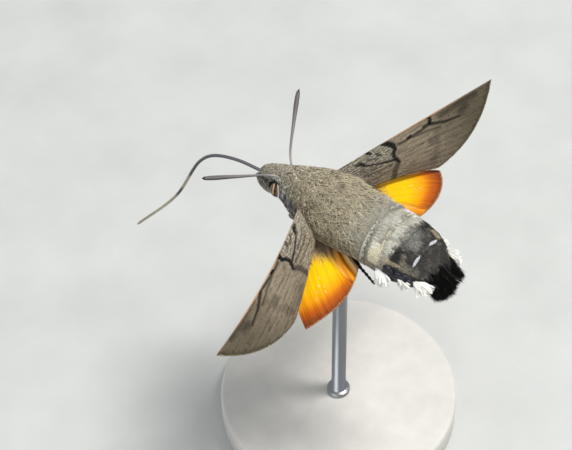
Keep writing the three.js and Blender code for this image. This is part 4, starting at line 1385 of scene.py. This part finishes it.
def make_antennae():
    """Ringed feelers that thicken to a club with a fine hooked point, painted pale on top where lit and dark
    beneath as painted shade.
    """
    for label, side in SIDES:
        hook = np.array(ANTENNA[-1]) + ANTENNA_HOOK
        path = spline(sided([*ANTENNA, hook], side), 6 * ANTENNA_JOINTS)
        t = np.linspace(0, 1, len(path))
        shape = np.interp(t, [0, 0.1, 0.2, 0.4, 0.6, 0.8, 0.9, 0.955, 0.975, 1.0],
                          [0.17, 0.14, 0.13, 0.16, 0.22, 0.29, 0.28, 0.22, 0.09, 0.03])
        joint = (t * ANTENNA_JOINTS) % 1
        radii = shape * (1 - 0.1 * np.cos(2 * math.pi * joint) ** 6 * smooth(0.16, 0.2, t))
        points, faces, uv, facing = tube(path, radii, 20, 0.85)
        place = uv[:, 0]
        # Painted light: lighter on top where light falls, darker beneath
        top = smooth(-0.1, 0.6, facing[:, 2])
        rings = np.cos(2 * math.pi * place * ANTENNA_JOINTS) ** 4 * smooth(0.16, 0.2, place)
        colour = painted(
            FEELER_DARK + 0 * points,
            (FEELER_LIT_TOP, top),
            (FEELER_BASE, (1 - smooth(0.1, 0.32, place)) * 0.55),
            (FEELER_CLUB, smooth(0.5, 0.8, place) * 0.55),
        )
        colour = mix(colour * (1 - 0.3 * rings)[:, None], FEELER_TIP, smooth(0.945, 0.965, place))
        piece = mesh_piece(f"antenna_skin_{label}", points, faces, colour, uv, HORN, "antenna_scales")
        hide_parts(f"antenna_{label}")


PROBOSCIS_DARK = linear(66, 66, 72)
PROBOSCIS_LIT_GREY = linear(132, 130, 138)
PROBOSCIS_HIGHLIGHT = linear(186, 178, 152)


def make_proboscis():
    """Two halves joined along a seam: blue-grey up to the knee with a painted lighter upper side, and pale
    bands of painted highlight beyond it.
    """
    count = 560
    toward = PROBOSCIS_TIP - PROBOSCIS_KNEE
    upper = PROBOSCIS_ROOT * 0.45 + PROBOSCIS_KNEE * 0.55 + [0, 0, 0.6]
    guide = [PROBOSCIS_ROOT, upper, PROBOSCIS_KNEE, PROBOSCIS_KNEE + toward * 0.12 + [0, -0.55, 0.3],
             PROBOSCIS_KNEE + toward * 0.5 + [0, 0.35, -0.5], PROBOSCIS_TIP]
    path = spline(guide, count)
    t = np.linspace(0, 1, count)
    rings = 1 + 0.03 * np.sin(t * count * 0.75)
    radii = PROBOSCIS_RADIUS * (1 - 0.2 * t**2) * rings * np.minimum(1, 40 * (1.004 - t)) ** 0.5
    points, faces, uv, facing = tube(path, radii, 24, 1.0, up=(1.0, 0.0, 0.0))
    seam = np.abs(facing[:, 0]) < 0.14
    points = points - facing * np.where(seam, 0.05, 0.0)[:, None]
    place = uv[:, 0]
    # Painted light: lighter on the upper side
    above = smooth(-0.2, 0.9, facing @ unit(np.array([0, -0.4, 1.0])))
    colour = painted(
        PROBOSCIS_DARK + 0 * points,
        (PROBOSCIS_LIT_GREY, 0.6 * above),
        # Painted highlights: pale bands along the proboscis
        (PROBOSCIS_HIGHLIGHT, 0.75 * band(place, 0.5, 0.035, 0.03)),
        (PROBOSCIS_HIGHLIGHT, 0.75 * band(place, 0.72, 0.09, 0.03)),
        (PROBOSCIS_HIGHLIGHT, 0.75 * smooth(0.66, 0.72, place)),
    )
    colour = np.where(seam[:, None], colour * 0.5, colour)
    piece = mesh_piece("proboscis_skin", points, faces, colour, uv, HORN, "proboscis_horn")
    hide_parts("proboscis_upper", "proboscis_knee", "proboscis_lower")


LEG_TONES = {
    "foreleg": (linear(98, 84, 66), linear(188, 176, 152)),
    "midleg": (linear(92, 80, 64), linear(176, 164, 142)),
    "hindleg": (linear(26, 24, 22), linear(60, 56, 52)),
}
# Spikes of every leg, one more of the hindlegs, and claws: where along the leg, length and side
LEG_SPIKES = [(0.64, 0.75, 1), (0.64, 0.6, -1)]
HINDLEG_SPIKES = [(0.54, 0.6, 1)]
CLAWS = [(0.985, 0.3, 1), (0.985, 0.3, -1)]
# Where the jointed foot begins and how long each of its joints is, as shares of the leg
FOOT_START = 0.66
FOOT_JOINT = 0.068


def make_leg(kind, label, side):
    """A leg with a jointed foot, spikes, claws and down."""
    dark, pale = LEG_TONES[kind]
    path = spline(sided(LEGS[kind], side), 150)
    t = np.linspace(0, 1, len(path))
    shape = np.interp(t, [0, 0.12, 0.3, 0.4, 0.46, 0.62, 0.68, 0.985, 1.0],
                      [0.4, 0.4, 0.32, 0.22, 0.25, 0.22, 0.18, 0.13, 0.04])
    foot = smooth(0.64, 0.7, t)
    radii = shape * (1 + 0.22 * foot * np.sin((t - FOOT_START) / FOOT_JOINT * 2 * math.pi - 1.2))
    points, faces, uv, facing = tube(path, radii, 14)
    place = uv[:, 0]
    joints = np.sin((place - FOOT_START) / FOOT_JOINT * 2 * math.pi)
    colour = painted(
        dark + 0 * points,
        (pale, smooth(0.0, 0.8, -facing[:, 2]) * 0.5),
        (pale, 0.6 * smooth(0.6, 0.95, joints) * (place > FOOT_START)),
    )
    meshes = [(points, faces, colour, uv)]
    direction = unit(np.gradient(path, axis=0))
    for at, length, way in LEG_SPIKES + (HINDLEG_SPIKES if kind == "hindleg" else []) + CLAWS:
        k = int(at * (len(path) - 1))
        out = unit(np.cross(direction[k], [0, 0, 1.0])) * way
        tip = path[k] + direction[k] * length * 0.9 + out * length * 0.45 + np.array([0, 0, -0.12 * length])
        line = path[k] + (tip - path[k]) * np.linspace(0, 1, 8)[:, None]
        more, extra, more_uv, _ = tube(line, np.linspace(0.07, 0.012, 8), 8)
        meshes.append((more, extra, np.repeat(pale[None] * 0.7, len(more), 0), more_uv))
    piece = mesh_piece(f"{kind}_skin_{label}", *joined(meshes), LEG_SCALES, "leg_scales")
    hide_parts(f"{kind}_{label}")
    k = rng.integers(12, 95, LEG_DOWN)
    turn = rng.uniform(0, 2 * math.pi, len(k))
    across = unit(np.cross(direction[k], [0, 0, 1.0]))
    up = np.cross(across, direction[k])
    normal = across * np.cos(turn)[:, None] + up * np.sin(turn)[:, None]
    root = path[k] + normal * (radii[k] - 0.03)[:, None]
    tone = mix(dark + 0 * root, pale, rng.uniform(0, 0.7, len(k)))
    coords = np.stack([t[k], turn / (2 * math.pi)], -1) * 0.98
    strands(f"down_{kind}_{label}", root, normal, direction[k], rng.uniform(0.25, 0.45, len(k)), 0.06,
            0.26, 0.1, tone, coords, "leg_scales")


# Stand, floor, light and camera

# A turned outline keeps this far from its axis
AXIS_GAP = 0.001
BASE_ROUNDING = 0.5
BASE_CHAMFER = 0.25
COLLAR_WIDTH = 0.55
COLLAR_HEIGHT = 0.7
COLLAR_ROUNDING = 0.2
COLLAR_SUNK = 0.4
ROD_INTO_BODY = 0.9
STAND_WHITE = linear(226, 224, 218)
STAND_STEEL = linear(176, 178, 180)
FLOOR_GREY = linear(214, 216, 214)
FLOOR_HALF = 0.9


def turned(name, profile, material, slot, node_name):
    """A round piece from its outline of radius and height, in the row frame's millimetres."""
    steps = 128
    turn = np.linspace(0, 2 * math.pi, steps, endpoint=False)
    radius, height = np.array(profile, float).T[..., None]
    points = np.stack([radius * np.cos(turn), radius * np.sin(turn), height + 0 * turn], -1).reshape(-1, 3)
    faces = grid_faces(len(profile), steps, closed=True)
    u = np.repeat(np.linspace(0, 1, len(profile)), steps)
    uv = np.stack([u, np.tile(turn / 2 / math.pi, len(profile))], -1)
    piece = mesh_piece(name, points - MOTH_ORIGIN, faces, np.ones((len(points), 3)), uv, material, slot)
    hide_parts(node_name)


def quarter(centre, radius):
    """Outline points of a rounded edge, from its outermost point to its top."""
    angles = np.radians(np.linspace(0, 90, 7))
    return [[centre[0] + radius * math.cos(a), centre[1] + radius * math.sin(a)] for a in angles]


def make_stand():
    """The round base, and the rod with a collar at its foot."""
    low, high = (np.array(corner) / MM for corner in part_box("stand_base"))
    radius, height = (high[0] - low[0]) / 2, high[2]
    lacquer = stand_material("stand_paint", STAND_WHITE, 0.42, 0.0, 3.0)
    outline = [[AXIS_GAP, 0.0], [radius - BASE_CHAMFER, 0.0], [radius, BASE_CHAMFER]]
    outline += quarter((radius - BASE_ROUNDING, height - BASE_ROUNDING), BASE_ROUNDING)
    outline += [[AXIS_GAP, height]]
    turned("stand_base_disc", outline, lacquer, "stand_paint", "stand_base")
    low, high = (np.array(corner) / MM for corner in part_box("stand_rod"))
    steel = stand_material("stand_steel", STAND_STEEL, 0.3, 1.0, 0.6, (1, 1, 0.05))
    rod = (high[0] - low[0]) / 2
    top = float(high[2]) + ROD_INTO_BODY
    collar, shoulder = rod + COLLAR_WIDTH, height + COLLAR_HEIGHT - COLLAR_ROUNDING
    foot = height - COLLAR_SUNK
    outline = [[AXIS_GAP, foot], [collar, foot], [collar, shoulder]]
    outline += quarter((collar - COLLAR_ROUNDING, shoulder), COLLAR_ROUNDING)
    outline += [[rod, height + COLLAR_HEIGHT], [rod, top - 0.4], [rod * 0.7, top - 0.1], [AXIS_GAP, top]]
    turned("stand_rod_steel", outline, steel, "stand_steel", "stand_rod")


def make_floor():
    mesh = bpy.data.meshes.new("floor")
    corners = [(FLOOR_HALF * x, FLOOR_HALF * y, 0) for x, y in ((-1, -1), (1, -1), (1, 1), (-1, 1))]
    mesh.from_pydata(corners, [], [(0, 1, 2, 3)])
    floor = add_object("floor", mesh)
    mesh.materials.append(stand_material("floor_paint", FLOOR_GREY, 0.8, 0.0, 12.0))


def put(item, *columns):
    """Places a camera or a light by its right, up and backward ways and its position."""
    item.matrix_world = Matrix([*np.stack(columns, 1).tolist(), (0, 0, 0, 1)])


def make_camera():
    azimuth, elevation, roll = np.radians([CAMERA_AZIMUTH, CAMERA_ELEVATION, CAMERA_ROLL])
    back = np.array([math.sin(azimuth) * math.cos(elevation), -math.cos(azimuth) * math.cos(elevation),
                     math.sin(elevation)])
    level = np.array([math.cos(azimuth), math.sin(azimuth), 0.0])
    upright = np.cross(back, level)
    right = math.cos(roll) * level + math.sin(roll) * upright
    up = -math.sin(roll) * level + math.cos(roll) * upright
    place = (MOTH_ORIGIN - MOTH_IN_VIEW[0] * right - MOTH_IN_VIEW[1] * up - MOTH_IN_VIEW[2] * back) * MM
    data = bpy.data.cameras.new("camera")
    data.lens = CAMERA_LENS
    data.sensor_width = 36
    data.clip_start = 0.005
    data.clip_end = 10
    camera = add_object("camera", data)
    put(camera, right, up, back, place)
    bpy.context.scene.camera = camera


def area_light(name, place, size, power, colour):
    """A round light that shines on the moth."""
    data = bpy.data.lights.new(name, "AREA")
    data.shape = "DISK"
    data.size = size
    data.energy = power
    data.color = colour
    back = unit(np.array(place) - MOTH_ORIGIN * MM)
    side = unit(np.cross([0, 0, 1.0], back))
    put(add_object(name, data), side, np.cross(back, side), back, np.array(place))


def make_lights():
    world = bpy.data.worlds.new("studio")
    world.use_nodes = True
    sky = world.node_tree.nodes["Background"]
    sky.inputs["Color"].default_value = (0.93, 0.96, 1.0, 1)
    sky.inputs["Strength"].default_value = 0.36
    bpy.context.scene.world = world
    area_light("key", (-0.12, 0.16, 0.5), 0.18, 2.3, (1.0, 0.98, 0.94))
    area_light("fill", (0.42, 0.02, 0.3), 0.35, 0.5, (0.95, 0.98, 1.0))
    look = bpy.context.scene.view_settings
    look.view_transform = "Standard"
    look.look = "None"


make_camera()
make_lights()
make_floor()
make_stand()
make_skin()
make_fur()
make_palp_fur()
make_eye_rims()
make_ring_fringes()
make_white_patches()
make_streaks()
for side_label, side_sign in SIDES:
    make_flank_scales(side_label, side_sign)
    make_side_tufts(side_label, side_sign)
make_tail_brush()
make_stray_hairs()
make_wings()
make_eyes()
make_antennae()
make_proboscis()
for leg_kind in LEGS:
    for side_label, side_sign in SIDES:
        make_leg(leg_kind, side_label, side_sign)
